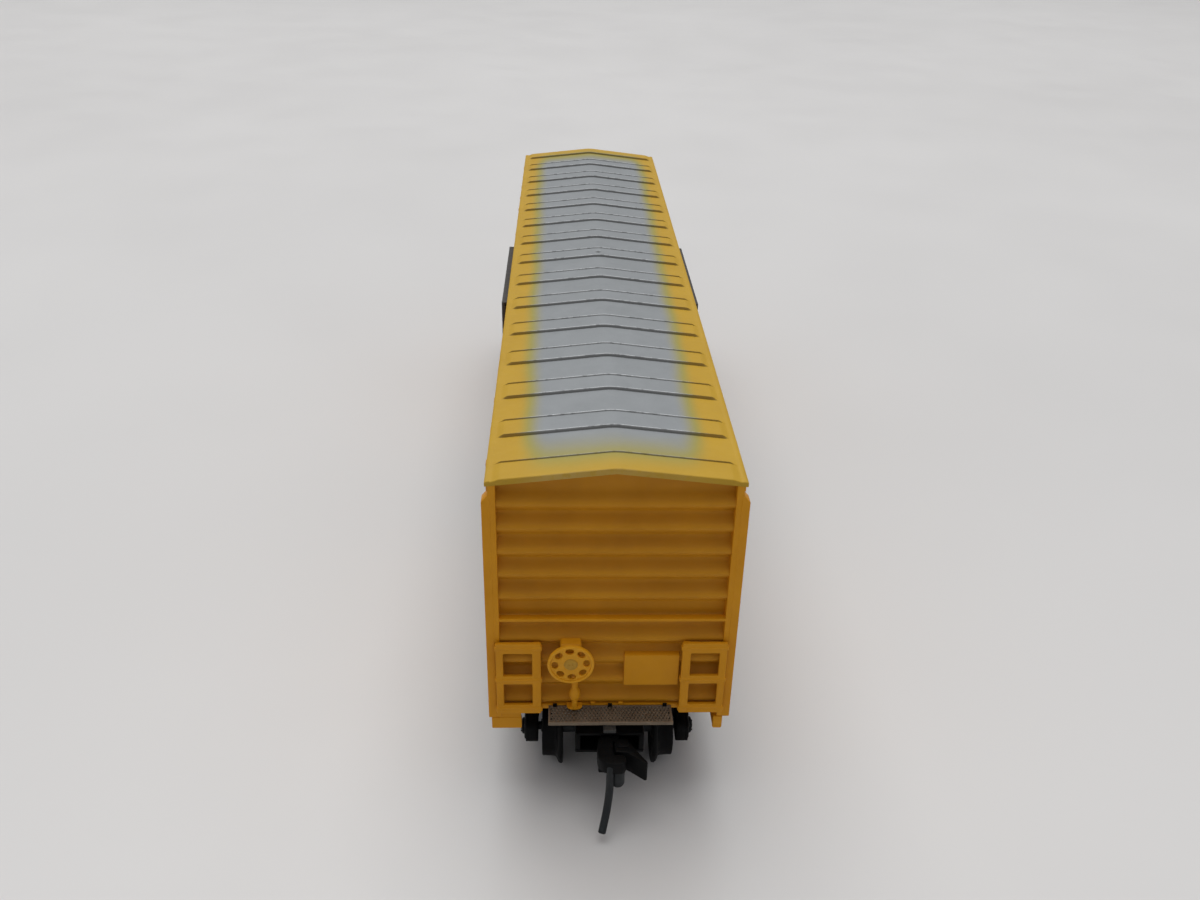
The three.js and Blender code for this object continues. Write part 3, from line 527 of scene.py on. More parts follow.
# Keyed by slot where a slot's pieces start with the material, and by a short name otherwise.
MAT = {
    "body_yellow": plastic("body_yellow", *YELLOW, (0.46, 0.6), 0.2),
    "roof": roof_paint(),
    # The end sheet's yellow is darker than the body's: painted shade for the end, which faces away from the
    # light.
    "end_sheet": plastic("end_sheet_shaded_yellow", (0.49, 0.203, 0.004), (0.56, 0.238, 0.005), (0.5, 0.62), 0.25),
    "door_black": plastic("door_black", (0.022, 0.018, 0.016), (0.036, 0.031, 0.028), (0.42, 0.58)),
    "black_plastic": plastic("black_plastic", (0.0014, 0.0015, 0.0016), (0.0034, 0.0035, 0.0038),
                             (0.48, 0.66), 0.12),
    "wheel_black": metal("wheel_black", (0.0022, 0.0023, 0.0024), (0.005, 0.0052, 0.0056),
                         (0.42, 0.58), 0.3, 0.12),
    "blackened_steel": metal("blackened_steel", (0.012, 0.0145, 0.016), (0.022, 0.026, 0.028),
                             (0.42, 0.56), 0.5),
    "etched_metal": metal("etched_metal", (0.14, 0.105, 0.070), (0.235, 0.182, 0.128), (0.42, 0.6), 0.4),
    "plain_steel": metal("plain_steel", (0.38, 0.38, 0.39), (0.52, 0.52, 0.53), (0.28, 0.42), 0.95,
                         streak=(1, 12, 1)),
    # A lighter, glossier grey: a painted highlight on the coupler box's ceiling.
    "painted_sheen": plastic("painted_sheen_plastic", (0.05, 0.052, 0.05), (0.12, 0.12, 0.115), (0.25, 0.4)),
    "painted_metal": plastic("brake_wheel_paint", (0.68, 0.305, 0.006), (0.76, 0.35, 0.009),
                             (0.46, 0.6), 0.3),
    "hub": plastic("hub_wear", (0.44, 0.235, 0.018), (0.53, 0.29, 0.03), (0.4, 0.55), 0.3),
}

# ---- body shell


def smooth_step(value, low, high):
    t = min(max((value - low) / (high - low), 0.0), 1.0)
    return t * t * (3 - 2 * t)


def both_ways(half):
    """The numbers from 0 up, mirrored below 0."""
    return [-a for a in half[:0:-1]] + half


def roof_drop(x):
    """How far the roof plane lies below the ridge."""
    return (RIDGE_Z - EAVE_Z) * abs(x) / EAVE_X

def roof_rib_edges():
    """Where the roof steps: the start and end of each valley between ribs."""
    edges = []
    for i in range(ROOF_PANELS):
        middle = (i - (ROOF_PANELS - 1) / 2) * ROOF_PITCH
        edges += [middle - ROOF_VALLEY / 2, middle + ROOF_VALLEY / 2]
    return edges


def roof_part():
    """Gable roof: ribs with a bead along each edge, eave strips and a dimple at the moulding gate."""
    edges = roof_rib_edges()
    step = 0.035
    bead_reach, bead_height = 0.09, 0.12
    gate_reach = 0.42

    def bead(y):
        nearest = min(edges, key=lambda e: abs(e - y))
        outward = -1 if edges.index(nearest) % 2 == 0 else 1
        away = (y - nearest) * outward - step - bead_reach
        return bead_height * max(0.0, 1 - (away / bead_reach) ** 2)

    def rib_share(y):
        inside = 0.0
        for start, end in zip(edges[::2], edges[1::2]):
            past_start = smooth_step(y, start - step, start + step)
            inside = max(inside, past_start - smooth_step(y, end - step, end + step))
        return 1.0 - inside

    ys = {-HALF_LENGTH, -HALF_LENGTH + 0.05, HALF_LENGTH - 0.05, HALF_LENGTH, -0.3, -0.15, 0.0, 0.15, 0.3}
    for i, edge in enumerate(edges):
        ys |= {edge + step * k for k in (-1.6, -1, -0.55, 0, 0.55, 1, 1.6)}
        ys |= {edge + (-1, 1)[i % 2] * (step + bead_reach * k / 4) for k in range(1, 10)}
    xs = both_ways([0.0, 0.12, 0.25, 0.4, 0.55, 0.7, 1.2, 2.5, 4.0, 5.5, 7.0, 8.2, 8.68, 8.8, 9.05, 9.28,
                    9.4, 9.5, 9.6, 9.78, EAVE_X])

    def top(x, y):
        reach = abs(x)
        ridge_round = 0.035 * max(0.0, 1 - reach / 0.6) ** 2
        deck = RIDGE_Z - RIB_HEIGHT - roof_drop(x) - ridge_round
        rib_end = 1 - smooth_step(reach, 8.7, 9.35)
        strip = 0.05 * smooth_step(reach, 9.42, 9.52) * (1 - smooth_step(reach, 9.76, EAVE_X))
        end_round = 0.05 * smooth_step(abs(y), HALF_LENGTH - 0.06, HALF_LENGTH)
        dimple = 0.12 * max(0.0, 1 - hypot(x, y) / gate_reach)
        raised = (RIB_HEIGHT * rib_share(y) + bead(y)) * rib_end
        return Vector((x, y, deck + raised + strip - end_round - dimple))

    def bottom(x, y):
        return Vector((x, y, RIDGE_Z - ROOF_THICKNESS - roof_drop(x)))

    return paint(height_sheet(xs, sorted(ys), top, bottom), 1)


def end_sheet_part():
    """Corrugated end panel: smooth horizontal waves, nine in all, with a flat at the ledge between them."""
    last_wave, ledge_wave, rows = 9, 5, 190
    valley, depth, back = END_SHEET_Y + 0.44, 0.82, END_SHEET_Y + 0.75
    xs = both_ways([0, 2, 4, 6, 8, 9.1])
    low, high = END_SILL_Z + 0.3, WALL_TOP_Z
    zs = [low + (high - low) * i / rows for i in range(rows + 1)]

    def wave(z):
        steps = (CORRUGATION_TOP_Z + 0.15 - z) / CORRUGATION_PITCH
        if not 0 <= round(steps) <= last_wave or round(steps) == ledge_wave:
            return 0.0
        return 0.5 + 0.5 * cos(2 * pi * steps)

    def gable(x, z):
        rise = RIDGE_Z - EAVE_Z - roof_drop(x)
        return z + rise * smooth_step(z, high - 0.9, high)

    def front(x, z):
        return Vector((x, valley - depth * wave(z), gable(x, z)))

    return height_sheet(xs, zs, front, lambda x, z: Vector((x, back, gable(x, z))))


def tapered_post(side, y, half_width, low):
    """An exterior post of the side, its head running back to the sheet."""
    top, head, back = 29.15, 29.75, SHEET_X - 0.15
    outline = [(back, low), (POST_X, low), (POST_X, top), (SHEET_X + 0.02, head), (back, head)]
    return prism([(side * a, b) for a, b in outline], *around(y, half_width), 0.07)


def end_parts():
    """The end at -Y: sheet, corner posts, ledge, sill, placard board and the bosses of the fittings."""
    yield paint(end_sheet_part(), 2)
    for side in (-1, 1):
        x = mirrored(side, 9.05, SHEET_X + 0.05)
        yield block(x, (-HALF_LENGTH + 0.03, -48.93), (SILL_Z + 0.02, WALL_TOP_Z + 0.03))
        yield tapered_post(side, -49.45, 0.55, SILL_Z)
    yield from [
        block((-9.15, 9.15), (-49.97, END_SHEET_Y + 0.2), around(LEDGE_Z, 0.15), 0.07),
        block((-9.2, 9.2), (-49.9, END_SHEET_Y + 0.5), (END_SILL_Z, END_SILL_Z + 0.5), 0.08),
        block((1.05, 5.6), (-50.05, END_SHEET_Y + 0.1), (11.4, 14.55)),
    ]
    for x in (-6.1, 6.1):
        for z in (9.1, 15.6):
            yield block(around(x, 0.25), (-HALF_LENGTH, END_SHEET_Y + 0.1), around(z, 0.25), 0.05)
    for x in (-1.43, 0.9):
        z = (END_SILL_Z + 0.4, END_SILL_Z + 0.72)
        yield block(around(x, 0.2), (-50.0, END_SHEET_Y), z, 0.07)


def side_parts():
    """The side at +X; the other side is this one turned half round."""
    rail_from, rail_to = -DOOR_HALF - 0.2, DOOR_HALF + 19.3
    inner, opening, wall_end = SHEET_X - 0.7, 9.2, END_SHEET_Y + 0.65
    walls = [
        ((wall_end, -opening), (SILL_Z, WALL_TOP_Z)),
        ((opening, -wall_end), (SILL_Z, WALL_TOP_Z)),
        (around(0, opening + 0.1), (28.4, WALL_TOP_Z)),
        (around(0, opening + 0.1), (SILL_Z, 9.4)),
    ]
    yield from [block((inner, SHEET_X), y, z, 0.04) for y, z in walls]
    posts, first, last = 7, DOOR_HALF + 0.55, HALF_LENGTH - 0.5
    for direction in (-1, 1):
        for i in range(posts):
            y = direction * (first + i * (last - first) / posts)
            if rail_from - 0.5 < y < rail_to + 0.5:
                yield block((SHEET_X - 0.15, POST_X), around(y, 0.375), (8.9, 28.75), 0.07)
            else:
                yield tapered_post(1, y, 0.375, SILL_Z + 0.8)
            yield block((SHEET_X - 0.1, SHEET_X + 0.12), around(y, 0.7), (9.0, 28.6), 0.04)
        door_stop = mirrored(direction, opening, DOOR_HALF + 0.25)
        yield block((SHEET_X - 0.3, 10.08), door_stop, (9.45, 28.35), 0.05)
    yield block((SHEET_X - 0.2, EAVE_X - 0.08), (-49.7, 49.7), (29.9, WALL_TOP_Z + 0.03))
    for sill in ((-49.7, rail_from), (rail_to, 49.7)):
        yield block((SHEET_X - 0.2, POST_X), sill, (SILL_Z, SILL_Z + 0.95), 0.08)
    face, lip = 10.12, 9.95
    for z, up in ((28.7, 1), (8.95, -1)):
        rail = [(inner, z), (face, z), (face, z + up * 0.5), (lip, z + up * 0.5), (lip, z + up * 0.2),
                (inner, z + up * 0.2)]
        yield prism(rail, rail_from, rail_to, 0.04)


def shell():
    parts = [roof_part()]
    for turn in (AS_IS, HALF_TURN):
        parts += [moved(part, turn) for part in (*end_parts(), *side_parts())]
    make_piece("box_car_shell", ["body_shell"], "car_body", "body_yellow", parts,
               others=("roof", "end_sheet"))


# ---- side doors


def door_parts():
    """Sliding door at +X: pressed panels in a frame, with claws over the rails, lock rods and a handle."""
    low, high = 8.2, 29.45
    back, face = 10.2, 10.65
    width = (-DOOR_HALF, DOOR_HALF)
    bars = [low, 15.15, 22.3, high]
    presses, rows, margin = 5, 40, 0.2
    ys = both_ways([0, 3, 6, 8.3, 8.55, 8.75, 8.9])
    for a, b in zip(bars, bars[1:]):
        start, height = a + margin, b - a - 2 * margin

        def front(y, z, start=start, height=height):
            phase = (z - start) / height * presses
            taper = 1 - smooth_step(abs(y), 8.4, 8.85)
            return Vector((10.38 + 0.16 * taper * sin(pi * (phase % 1)) ** 1.5, y, z))

        zs = [start + height * i / rows for i in range(rows + 1)]
        yield height_sheet(ys, zs, front, lambda y, z: Vector((back, y, z)))
    for z in ((low, low + 0.5), (high - 0.5, high), around(bars[1], 0.25), around(bars[2], 0.25)):
        yield block((back, face - 0.04), width, z)
    for y in ((-DOOR_HALF, -DOOR_HALF + 0.7), (DOOR_HALF - 0.7, DOOR_HALF)):
        yield block((back, face - 0.02), y, (low, high))
    for x, z in (((9.7, 10.4), (29.25, high)), ((9.7, 9.9), (28.95, 29.4)),
                 ((9.7, 10.4), (low, 8.4)), ((9.7, 9.9), (8.25, 8.7))):
        yield block(x, width, z, 0.04)
    for y in (-8.1, 8.0):
        yield rod((10.55, y, low + 0.6), (10.55, y, high - 0.6), 0.09, 12)
        for z in (11.0, 15.4, 22.0, 26.5):
            yield block((10.4, face), around(y, 0.22), around(z, 0.16), 0.05)
    yield block((10.45, face), (-8.1, -6.3), (13.2, 13.42), 0.05)
    yield block((10.45, face), (-6.5, -6.2), (12.9, 13.7), 0.05)
    for y in (-7.2, 7.2):
        yield block((10.3, face), around(y, 0.7), (8.35, 9.25), 0.08)


def doors():
    make_piece("right_side_door", ["right_door"], "right_door", "door_black", door_parts())
    make_piece("left_side_door", ["left_door"], "left_door", "door_black", door_parts(), HALF_TURN)


# ---- end fittings


def end_ladder_parts(side):
    """Moulded end ladder: a plate with two windows, its stand-off feet and its rungs."""
    loops = [rectangle(5.73, 9.4, 8.75, 16.05, 0.12),
             rectangle(6.45, 8.8, 9.68, 11.88, 0.08), rectangle(6.45, 8.8, 12.72, 15.05, 0.08)]
    outline, *windows = [[(side * x, z) for x, z in loop] for loop in loops]
    yield plate(outline, -50.46, -50.12, "y", windows, 0.07)
    for z in (9.2, 12.3, 15.55):
        for foot in ((5.63, 6.4), (8.85, 9.5)):
            yield block(mirrored(side, *foot), (-50.5, -50.02), around(z, 0.22), 0.07)
    for z in (9.35, 12.3, 15.6):
        yield block(mirrored(side, 6.0, 9.1), (-50.52, -50.2), around(z, 0.14), 0.07)


def side_ladder_parts(side):
    near, far = -48.65, -45.65
    for y in (near + 0.2, far - 0.2):
        yield block(mirrored(side, 9.78, 10.1), around(y, 0.17), (9.2, 16.1))
        for z in (9.5, 15.7):
            yield block(mirrored(side, 9.62, 9.9), around(y, 0.12), around(z, 0.14), 0.03)
    for z in (9.6, 11.6, 13.6, 15.6):
        yield rod((side * 9.93, near + 0.1, z), (side * 9.93, far - 0.1, z), 0.15, 14)


def plate_step_parts():
    return [
        block((-9.92, -7.4), (-49.95, -49.6), (6.65, 7.85), 0.08),
        block((-9.3, -7.44), (-49.91, -49.64), (7.5, 8.72), 0.08),
        block((-9.89, -9.62), (-49.9, -47.1), (6.69, 7.81), 0.08),
    ]


def stirrup_parts():
    return [
        block((8.8, 9.6), (-49.95, -49.62), (6.6, 7.85), 0.09),
        block((8.8, 9.6), (-47.45, -47.1), (6.5, 7.85), 0.09),
        block((8.84, 9.56), (-49.91, -47.14), (6.5, 6.82), 0.09),
    ]


DECK_X, DECK_FRONT, DECK_BACK = 5.15, -52.12, -49.92
DECK_LOW, DECK_TOP = 8.96, 9.17


def mesh_deck():
    """Etched see-through deck: staggered six-sided holes in a thin sheet, for a solid rim to surround."""
    hole_share = 0.7
    x_edge, front, back = 4.95, DECK_FRONT + 0.2, DECK_BACK - 0.14
    low, top = DECK_LOW + 0.03, DECK_TOP - 0.02
    columns, rows = int(2 * x_edge / 0.3), int((back - front) / 0.29)
    cell_x, cell_y = 2 * x_edge / columns, (back - front) / rows
    corners = [(0, 0.62), (0.5, 0.3), (0.5, -0.3), (0, -0.62), (-0.5, -0.3), (-0.5, 0.3)]
    made = bmesh.new()
    for row in range(rows):
        for column in range(columns - (row % 2)):
            cx = -x_edge + (column + 0.5 + 0.5 * (row % 2)) * cell_x
            cy = front + (row + 0.5) * cell_y
            outer_top, inner_top, outer_low, inner_low = (
                [made.verts.new((cx + a * reach * cell_x, cy + b * reach * cell_y, z)) for a, b in corners]
                for z, reach in ((top, 1.0), (top, hole_share), (low, 1.0), (low, hole_share))
            )
            for i in range(6):
                j = (i + 1) % 6
                made.faces.new((outer_top[i], outer_top[j], inner_top[j], inner_top[i]))
                made.faces.new((inner_low[i], inner_low[j], outer_low[j], outer_low[i]))
                made.faces.new((inner_top[i], inner_top[j], inner_low[j], inner_low[i]))
                made.faces.new((outer_top[j], outer_top[i], outer_low[i], outer_low[j]))
    return made


def platform_parts():
    """The deck with its lip, rim and stiffeners, and three tabs that clip it to the end sill."""
    whole_x, whole_y = around(0, DECK_X), (DECK_FRONT, DECK_BACK)
    yield mesh_deck()
    yield from [
        block(whole_x, (DECK_FRONT, DECK_FRONT + 0.2), (DECK_LOW - 0.03, DECK_TOP + 0.09), 0.05),
        block(whole_x, (DECK_BACK - 0.2, DECK_BACK), (DECK_LOW, DECK_TOP), 0.04),
        block((-DECK_X, -DECK_X + 0.2), whole_y, (DECK_LOW, DECK_TOP + 0.01), 0.04),
        block((DECK_X - 0.2, DECK_X), whole_y, (DECK_LOW, DECK_TOP + 0.01), 0.04),
    ]
    for x in (-3.0, 0.0, 3.0):
        y, z = (DECK_FRONT + 0.1, DECK_BACK - 0.02), (DECK_LOW - 0.03, DECK_LOW + 0.06)
        yield block(around(x, 0.1), y, z, 0.02)
    # Painted shade: the three tabs take the black material, standing in for the shaded holes at the end sill
    # that they plug into.
    for x in (-4.6, 0.0, 4.6):
        yield paint(block(around(x, 0.2), (DECK_BACK - 0.25, DECK_BACK), (9.08, 9.45), 0.07), 1)


def brake_stand_parts():
    """Gear housing behind the wheel, and a column with a knob on a half-round bracket."""
    x, _, z = BRAKE_WHEEL
    column_x, column_y = x + 0.35, -50.45
    bracket_back, bracket_reach = -49.88, 0.65
    half_round = [(column_x - bracket_reach, bracket_back)]
    for k in range(13):
        angle = pi - pi * k / 12
        half_round.append((column_x + bracket_reach * cos(angle), -50.3 - 0.42 * sin(angle)))
    half_round.append((column_x + bracket_reach, bracket_back))
    column = [(0, 9.4), (0.24, 9.4), (0.26, 10.1), (0.2, 10.25), (0.36, 10.42), (0.47, 10.85), (0.42, 11.25),
              (0.28, 11.5), (0.25, 11.7), (0.3, 11.85), (0.25, 12.0), (0.24, z - 1.0), (0, z - 1.0)]
    return [
        block(around(x, 0.85), (-50.74, END_SHEET_Y + 0.1), (z - 1.1, z + 1.6), 0.2, 3),
        block(around(x, 0.5), (-50.8, -50.3), (z - 0.6, z + 0.5), 0.15, 3),
        lathe(column, (column_x, column_y, 0), "z", 24),
        plate(half_round, 9.31, 9.5, "z", bevel=0.05),
    ]


def brake_wheel_parts():
    """Stamped disc with eight slots, a rolled rim, a shaft and a hub."""
    x, y, z = BRAKE_WHEEL
    slots, slot_ring = 8, 1.28
    holes = []
    for i in range(slots):
        angle = 2 * pi * i / slots + BRAKE_WHEEL_TURN
        centre = (x + slot_ring * cos(angle), z + slot_ring * sin(angle))
        holes.append(circle(centre, 0.27, 18, 1.3, angle))
    rim = [(1.66, -0.16), (1.62, -0.02), (1.66, 0.14), (1.78, 0.18), (1.88, 0.1), (1.9, -0.04),
           (1.86, -0.16), (1.76, -0.2), (1.66, -0.16)]
    hub = [(0, -0.3), (0.14, -0.3), (0.18, -0.22), (0.36, -0.2), (0.5, -0.16), (0.58, -0.06), (0.6, 0.1),
           (0, 0.1)]
    return [
        plate(circle((x, z), 1.84, 72), y - 0.06, y + 0.16, "y", holes, 0.05),
        lathe(rim, BRAKE_WHEEL, "y", 72),
        lathe([(0, 0.05), (0.25, 0.05), (0.25, 0.85), (0, 0.85)], BRAKE_WHEEL, "y", 24),
        paint(lathe(hub, BRAKE_WHEEL, "y", 40), 1),
    ]


def end_fittings(end, turn):
    def fit(name, node, parts):
        make_piece(name, [node], "car_body", "body_yellow", parts, turn)

    for side, name in ((-1, "left"), (1, "right")):
        fit(f"end_ladder_{name}_{end}", f"end_ladder_{end}_{name}", end_ladder_parts(side))
        fit(f"side_ladder_{name}_{end}", f"side_ladder_{end}_{name}", side_ladder_parts(side))
    fit(f"plate_step_{end}", f"corner_step_{end}_left", plate_step_parts())
    fit(f"stirrup_step_{end}", f"corner_step_{end}_right", stirrup_parts())
    make_piece(f"mesh_platform_{end}", [f"end_platform_{end}"], "car_body", "etched_metal", platform_parts(),
               turn, ("black_plastic",))


# ---- underframe and brake gear


def underframe_parts():
    """Floor, centre sill, cross-bearers, floor beams, stringers, bolsters and brake-gear pads."""
    under_floor = 8.6
    yield block((-8.8, 8.8), (-48.6, 48.6), (8.5, 9.2))
    for x in (-1.15, 1.15):
        yield block(around(x, 0.14), (-33, 33), (6.95, under_floor), 0.04)
    yield block((-1.7, 1.7), (-33, 33), (6.9, 7.08), 0.05)
    yield block((-1.1, 1.1), (-32.9, 32.9), (7.6, under_floor), 0.04)
    web = [(-8.3, 8.6), (-8.3, 8.1), (-2, 7.15), (2, 7.15), (8.3, 8.1), (8.3, 8.6)]
    flange = [(-8.3, 8.2), (-8.3, 8.06), (-2, 7.1), (2, 7.1), (8.3, 8.06), (8.3, 8.2), (2, 7.24), (-2, 7.24)]
    for y in (-25, -15.5, 15.5, 25):
        yield prism(web, *around(y, 0.14), 0.04)
        yield prism(flange, *around(y, 0.42), 0.03)
    for y in (-30, -20.2, -10.5, -6, 10.5, 20.2, 30):
        yield block((-8.6, 8.6), around(y, 0.2), (8.2, under_floor), 0.05)
    for x in (-5.2, 5.0):
        for y in ((-37.5, -16), (16, 37.5)):
            yield block(around(x, 0.16), y, (8.25, under_floor), 0.04)
    centre_bowl = [(0.75, 7.0), (1.95, 7.0), (2.1, 7.12), (2.1, 8.2), (2.5, 8.55), (0.75, 8.55), (0.75, 7.0)]
    for y in (TRUCK_Y, -TRUCK_Y):
        yield block((-8.3, 8.3), around(y, 1.2), (8.0, under_floor), 0.08)
        yield block((-4.2, 4.2), around(y, 1.9), (8.15, under_floor), 0.08)
        yield lathe(centre_bowl, (0, y, 0), "z", 48)
    for x, y in ((-5.2, 6.5), (5.0, -0.1), (-5.2, -4.5)):
        yield block(around(x, 0.5), around(y, 0.8), (8.27, under_floor))


def pipes_parts():
    """Train pipe along the floor, branch pipes and brake rods, clipped to the underframe."""
    wires = [
        ([(2.3, -33.5, 8.15), (2.3, -20, 8.0), (2.3, 0, 7.98), (2.3, 20, 8.0), (2.3, 33.5, 8.15)], 0.16),
        ([(-4.45, -4.2, 7.5), (-3.4, -4.2, 7.7), (-2.2, -4.6, 7.95), (2.2, -4.6, 7.95)], 0.13),
        ([(-5.0, -2.9, 7.4), (-5.0, -1, 7.75), (-3, 0.4, 7.9), (2, 0.4, 7.8), (4.1, 0.4, 7.5)], 0.13),
        ([(-5.5, -2.9, 7.3), (-5.6, 1.0, 7.5), (-5.3, 4.7, 7.3)], 0.13),
        ([(-3.6, 9.8, 7.35), (-2.9, 18, 7.3), (-2.4, 32.5, 7.35)], 0.11),
        ([(-3.5, 9.9, 7.35), (-2.4, -8, 7.3), (-2.2, -32.5, 7.35)], 0.11),
    ]
    yield from [tube(spline_points(points, 6), radius, 10) for points, radius in wires]
    yield block((-5.6, -2.9), (9.72, 10.0), (7.2, 7.5), 0.07)


def tank_parts(x, start, end, z, radius):
    """A tank along the car with domed ends, two straps and a hanger."""
    head = [(0, 0), (0.55 * radius, 0.02), (0.88 * radius, 0.16), (radius, 0.42)]
    profile = [(r, start + inset) for r, inset in head] + [(r, end - inset) for r, inset in head[::-1]]
    yield lathe(profile, (x, 0, z), "y", 40)
    inner, outer = radius - 0.05, radius + 0.07
    for y in (start + 0.9, end - 0.9):
        a, b = around(y, 0.12)
        yield lathe([(inner, a), (outer, a), (outer, b), (inner, b), (inner, a)], (x, 0, z), "y", 40)
    yield block(around(x, 0.4), around((start + end) / 2, 0.6), (z, 8.25), 0.08)


def underfloor():
    def hang(name, node, parts):
        make_piece(name, [node], "car_body", "black_plastic", parts)

    hang("underframe_floor", "underframe", (*underframe_parts(), *pipes_parts()))
    push_rod = [(0, 8.3), (0.5, 8.3), (0.55, 8.7), (0.3, 8.8), (0.28, 9.9), (0, 10.0)]
    cylinder = (*tank_parts(-5.2, 4.6, 8.4, 7.05, 1.1), lathe(push_rod, (-5.2, 0, 7.05), "y", 24))
    hang("brake_cylinder_unit", "brake_cylinder", cylinder)
    hang("air_reservoir_tank", "air_reservoir", tank_parts(5.0, -3.2, 3.0, 7.1, 1.05))
    barrel = [(0, -6.1), (0.45, -6.1), (0.6, -5.95), (0.6, -5.3), (0.48, -5.2), (0.48, -3.8), (0.6, -3.7),
              (0.6, -3.05), (0.45, -2.9), (0, -2.9)]
    valve = [block((-6.0, -4.4), (-5.2, -3.8), (6.4, 8.25), 0.14, 3), lathe(barrel, (-5.2, 0, 7.1), "y", 28)]
    hang("control_valve_unit", "control_valve", valve)


# ---- trucks


def coil(start, along, across, radius, wire, turns):
    """A round wire wound about the line along from the start; its turns lie in x and the across direction."""
    per_turn = 14
    count = turns * per_turn
    points = []
    for i in range(count + 1):
        angle = 2 * pi * i / per_turn
        ring = radius * cos(angle) * Vector((1, 0, 0)) + radius * sin(angle) * Vector(across)
        points.append(Vector(start) + Vector(along) * (i / count) + ring)
    return tube(points, wire, 8)


def side_frame_parts(side):
    """Cast side frame with two windows and spring nest, bolster end and roller bearing ends."""
    half = [(0, 1.75), (2.2, 1.8), (3.2, 2.25), (4.35, 3.1), (4.65, 2.45), (6.7, 2.45), (6.9, 2.75),
            (6.9, 4.05), (6.6, 4.35), (5.9, 4.7), (4.3, 5.85), (2.7, 6.3), (0, 6.38)]
    whole = [*half, *[(-y, z) for y, z in half[-2:0:-1]]]
    middle_z = 4.05
    boss = [(y * 0.93, middle_z + (z - middle_z) * 0.86) for y, z in whole]
    window = [(2.15, 2.75), (3.2, 3.15), (3.95, 3.8), (4.25, 4.25), (3.6, 5.15), (2.75, 5.5), (2.15, 5.55)]
    windows = [rounded(window, 0.22), rounded([(-y, z) for y, z in window[::-1]], 0.22),
               rectangle(-1.5, 1.5, 2.35, 4.55, 0.15)]

    def shelf(x0, x1, y, z, bevel):
        return block(mirrored(side, x0, x1), y, z, bevel)

    yield from [
        plate(rounded(whole, 0.28), *mirrored(side, 6.1, 7.0), "x", windows, 0.1),
        plate(rounded(whole, 0.28), *mirrored(side, 6.95, 7.22), "x", [rounded(boss, 0.25)], 0.06),
    ]
    for y in (-0.95, 0.0, 0.95):
        x = side * (6.72 if y else 6.95)
        yield coil((x, y, 2.35), (0, 0, 2.15), (0, 1, 0), 0.36, 0.12, 5)
        yield rod((x, y, 2.3), (x, y, 4.55), 0.18, 10)
    yield shelf(6.2, 7.5, (-1.75, 1.75), (2.02, 2.36), 0.08)
    yield shelf(6.1, 7.55, (-1.75, 1.75), (4.5, 4.95), 0.1)
    yield shelf(6.15, 7.35, (-1.35, 1.35), (4.9, 5.9), 0.12)
    cap = [(0, 7.7), (0.3, 7.68), (0.36, 7.6), (0.62, 7.58), (0.72, 7.48), (0.74, 7.2), (0, 7.2)]
    bolts, bolt_ring = 3, 0.46
    for y in (-HALF_WHEELBASE, HALF_WHEELBASE):
        yield shelf(6.4, 7.35, around(y, 0.95), (2.5, 4.2), 0.12)
        yield lathe([(r, side * x) for r, x in cap], (0, y, AXLE_Z), "x", 32)
        for k in range(bolts):
            angle = pi / 2 + 2 * pi * k / bolts
            by, bz = y + bolt_ring * cos(angle), AXLE_Z + bolt_ring * sin(angle)
            yield rod((side * 7.5, by, bz), (side * 7.68, by, bz), 0.1, 6)
        yield shelf(6.2, 7.3, around(y, 0.3), (4.15, 4.75), 0.1)


def truck_frame_parts():
    """Own frame: y = 0 at the truck centre. The coupler box is part of the same moulding."""
    yield from side_frame_parts(1)
    yield from side_frame_parts(-1)
    box_back, box_front, pivot = -6.1, -10.7, PIVOT_Y - TRUCK_Y
    bolster = [(-6.3, 4.95), (-6.3, 6.3), (-2.4, 6.42), (2.4, 6.42), (6.3, 6.3), (6.3, 4.95), (3.0, 4.9),
               (-3.0, 4.9)]
    yield prism(bolster, 0.8, 1.5, 0.08)
    yield prism(bolster, -1.5, -0.8, 0.08)
    for side in (-1, 1):
        yield block(mirrored(side, 0.95, 6.3), (-0.95, 0.95), (4.95, 6.35), 0.08)
    centre_plate = [(0.78, 4.9), (1.25, 4.9), (1.25, 6.3), (2.1, 6.3), (2.1, 6.86), (2.0, 6.94), (0.78, 6.94),
                    (0.78, 4.9)]
    yield from [
        lathe(centre_plate, axis="z", count=48),
        block((-1.6, 1.6), (box_back - 0.1, -1.4), (5.4, 6.5), 0.12),
        block((-0.35, 0.35), (box_back - 0.1, -1.4), (6.4, 6.8), 0.1),
        block((-2.9, 2.9), (box_front, box_back), (6.88, 7.2), 0.1),
        block((-2.9, 2.9), (box_back - 0.45, box_back), (5.35, 7.15), 0.08),
        block((-2.9, -2.45), (box_front, box_back), (5.35, 7.1), 0.08),
        block((2.45, 2.9), (box_front, box_back), (5.35, 7.1), 0.08),
        # Painted highlight: the pad on the box's ceiling, near its mouth, is lighter and glossier.
        paint(block((-0.55, 0.55), (box_front + 0.05, box_front + 0.85), (6.95, 7.45), 0.1), 1),
        block((-0.9, 0.9), (box_front + 0.8, box_back - 0.8), (7.1, 7.3), 0.08),
        rod((0, pivot, 5.36), (0, pivot, 6.95), 0.55, 32),
        rod((0, pivot, 7.1), (0, pivot, 7.38), 0.7, 32),
    ]
    for y in (-2.6, 2.6):
        yield block((-5.9, 5.9), around(y, 0.16), (4.3, 4.62), 0.05)


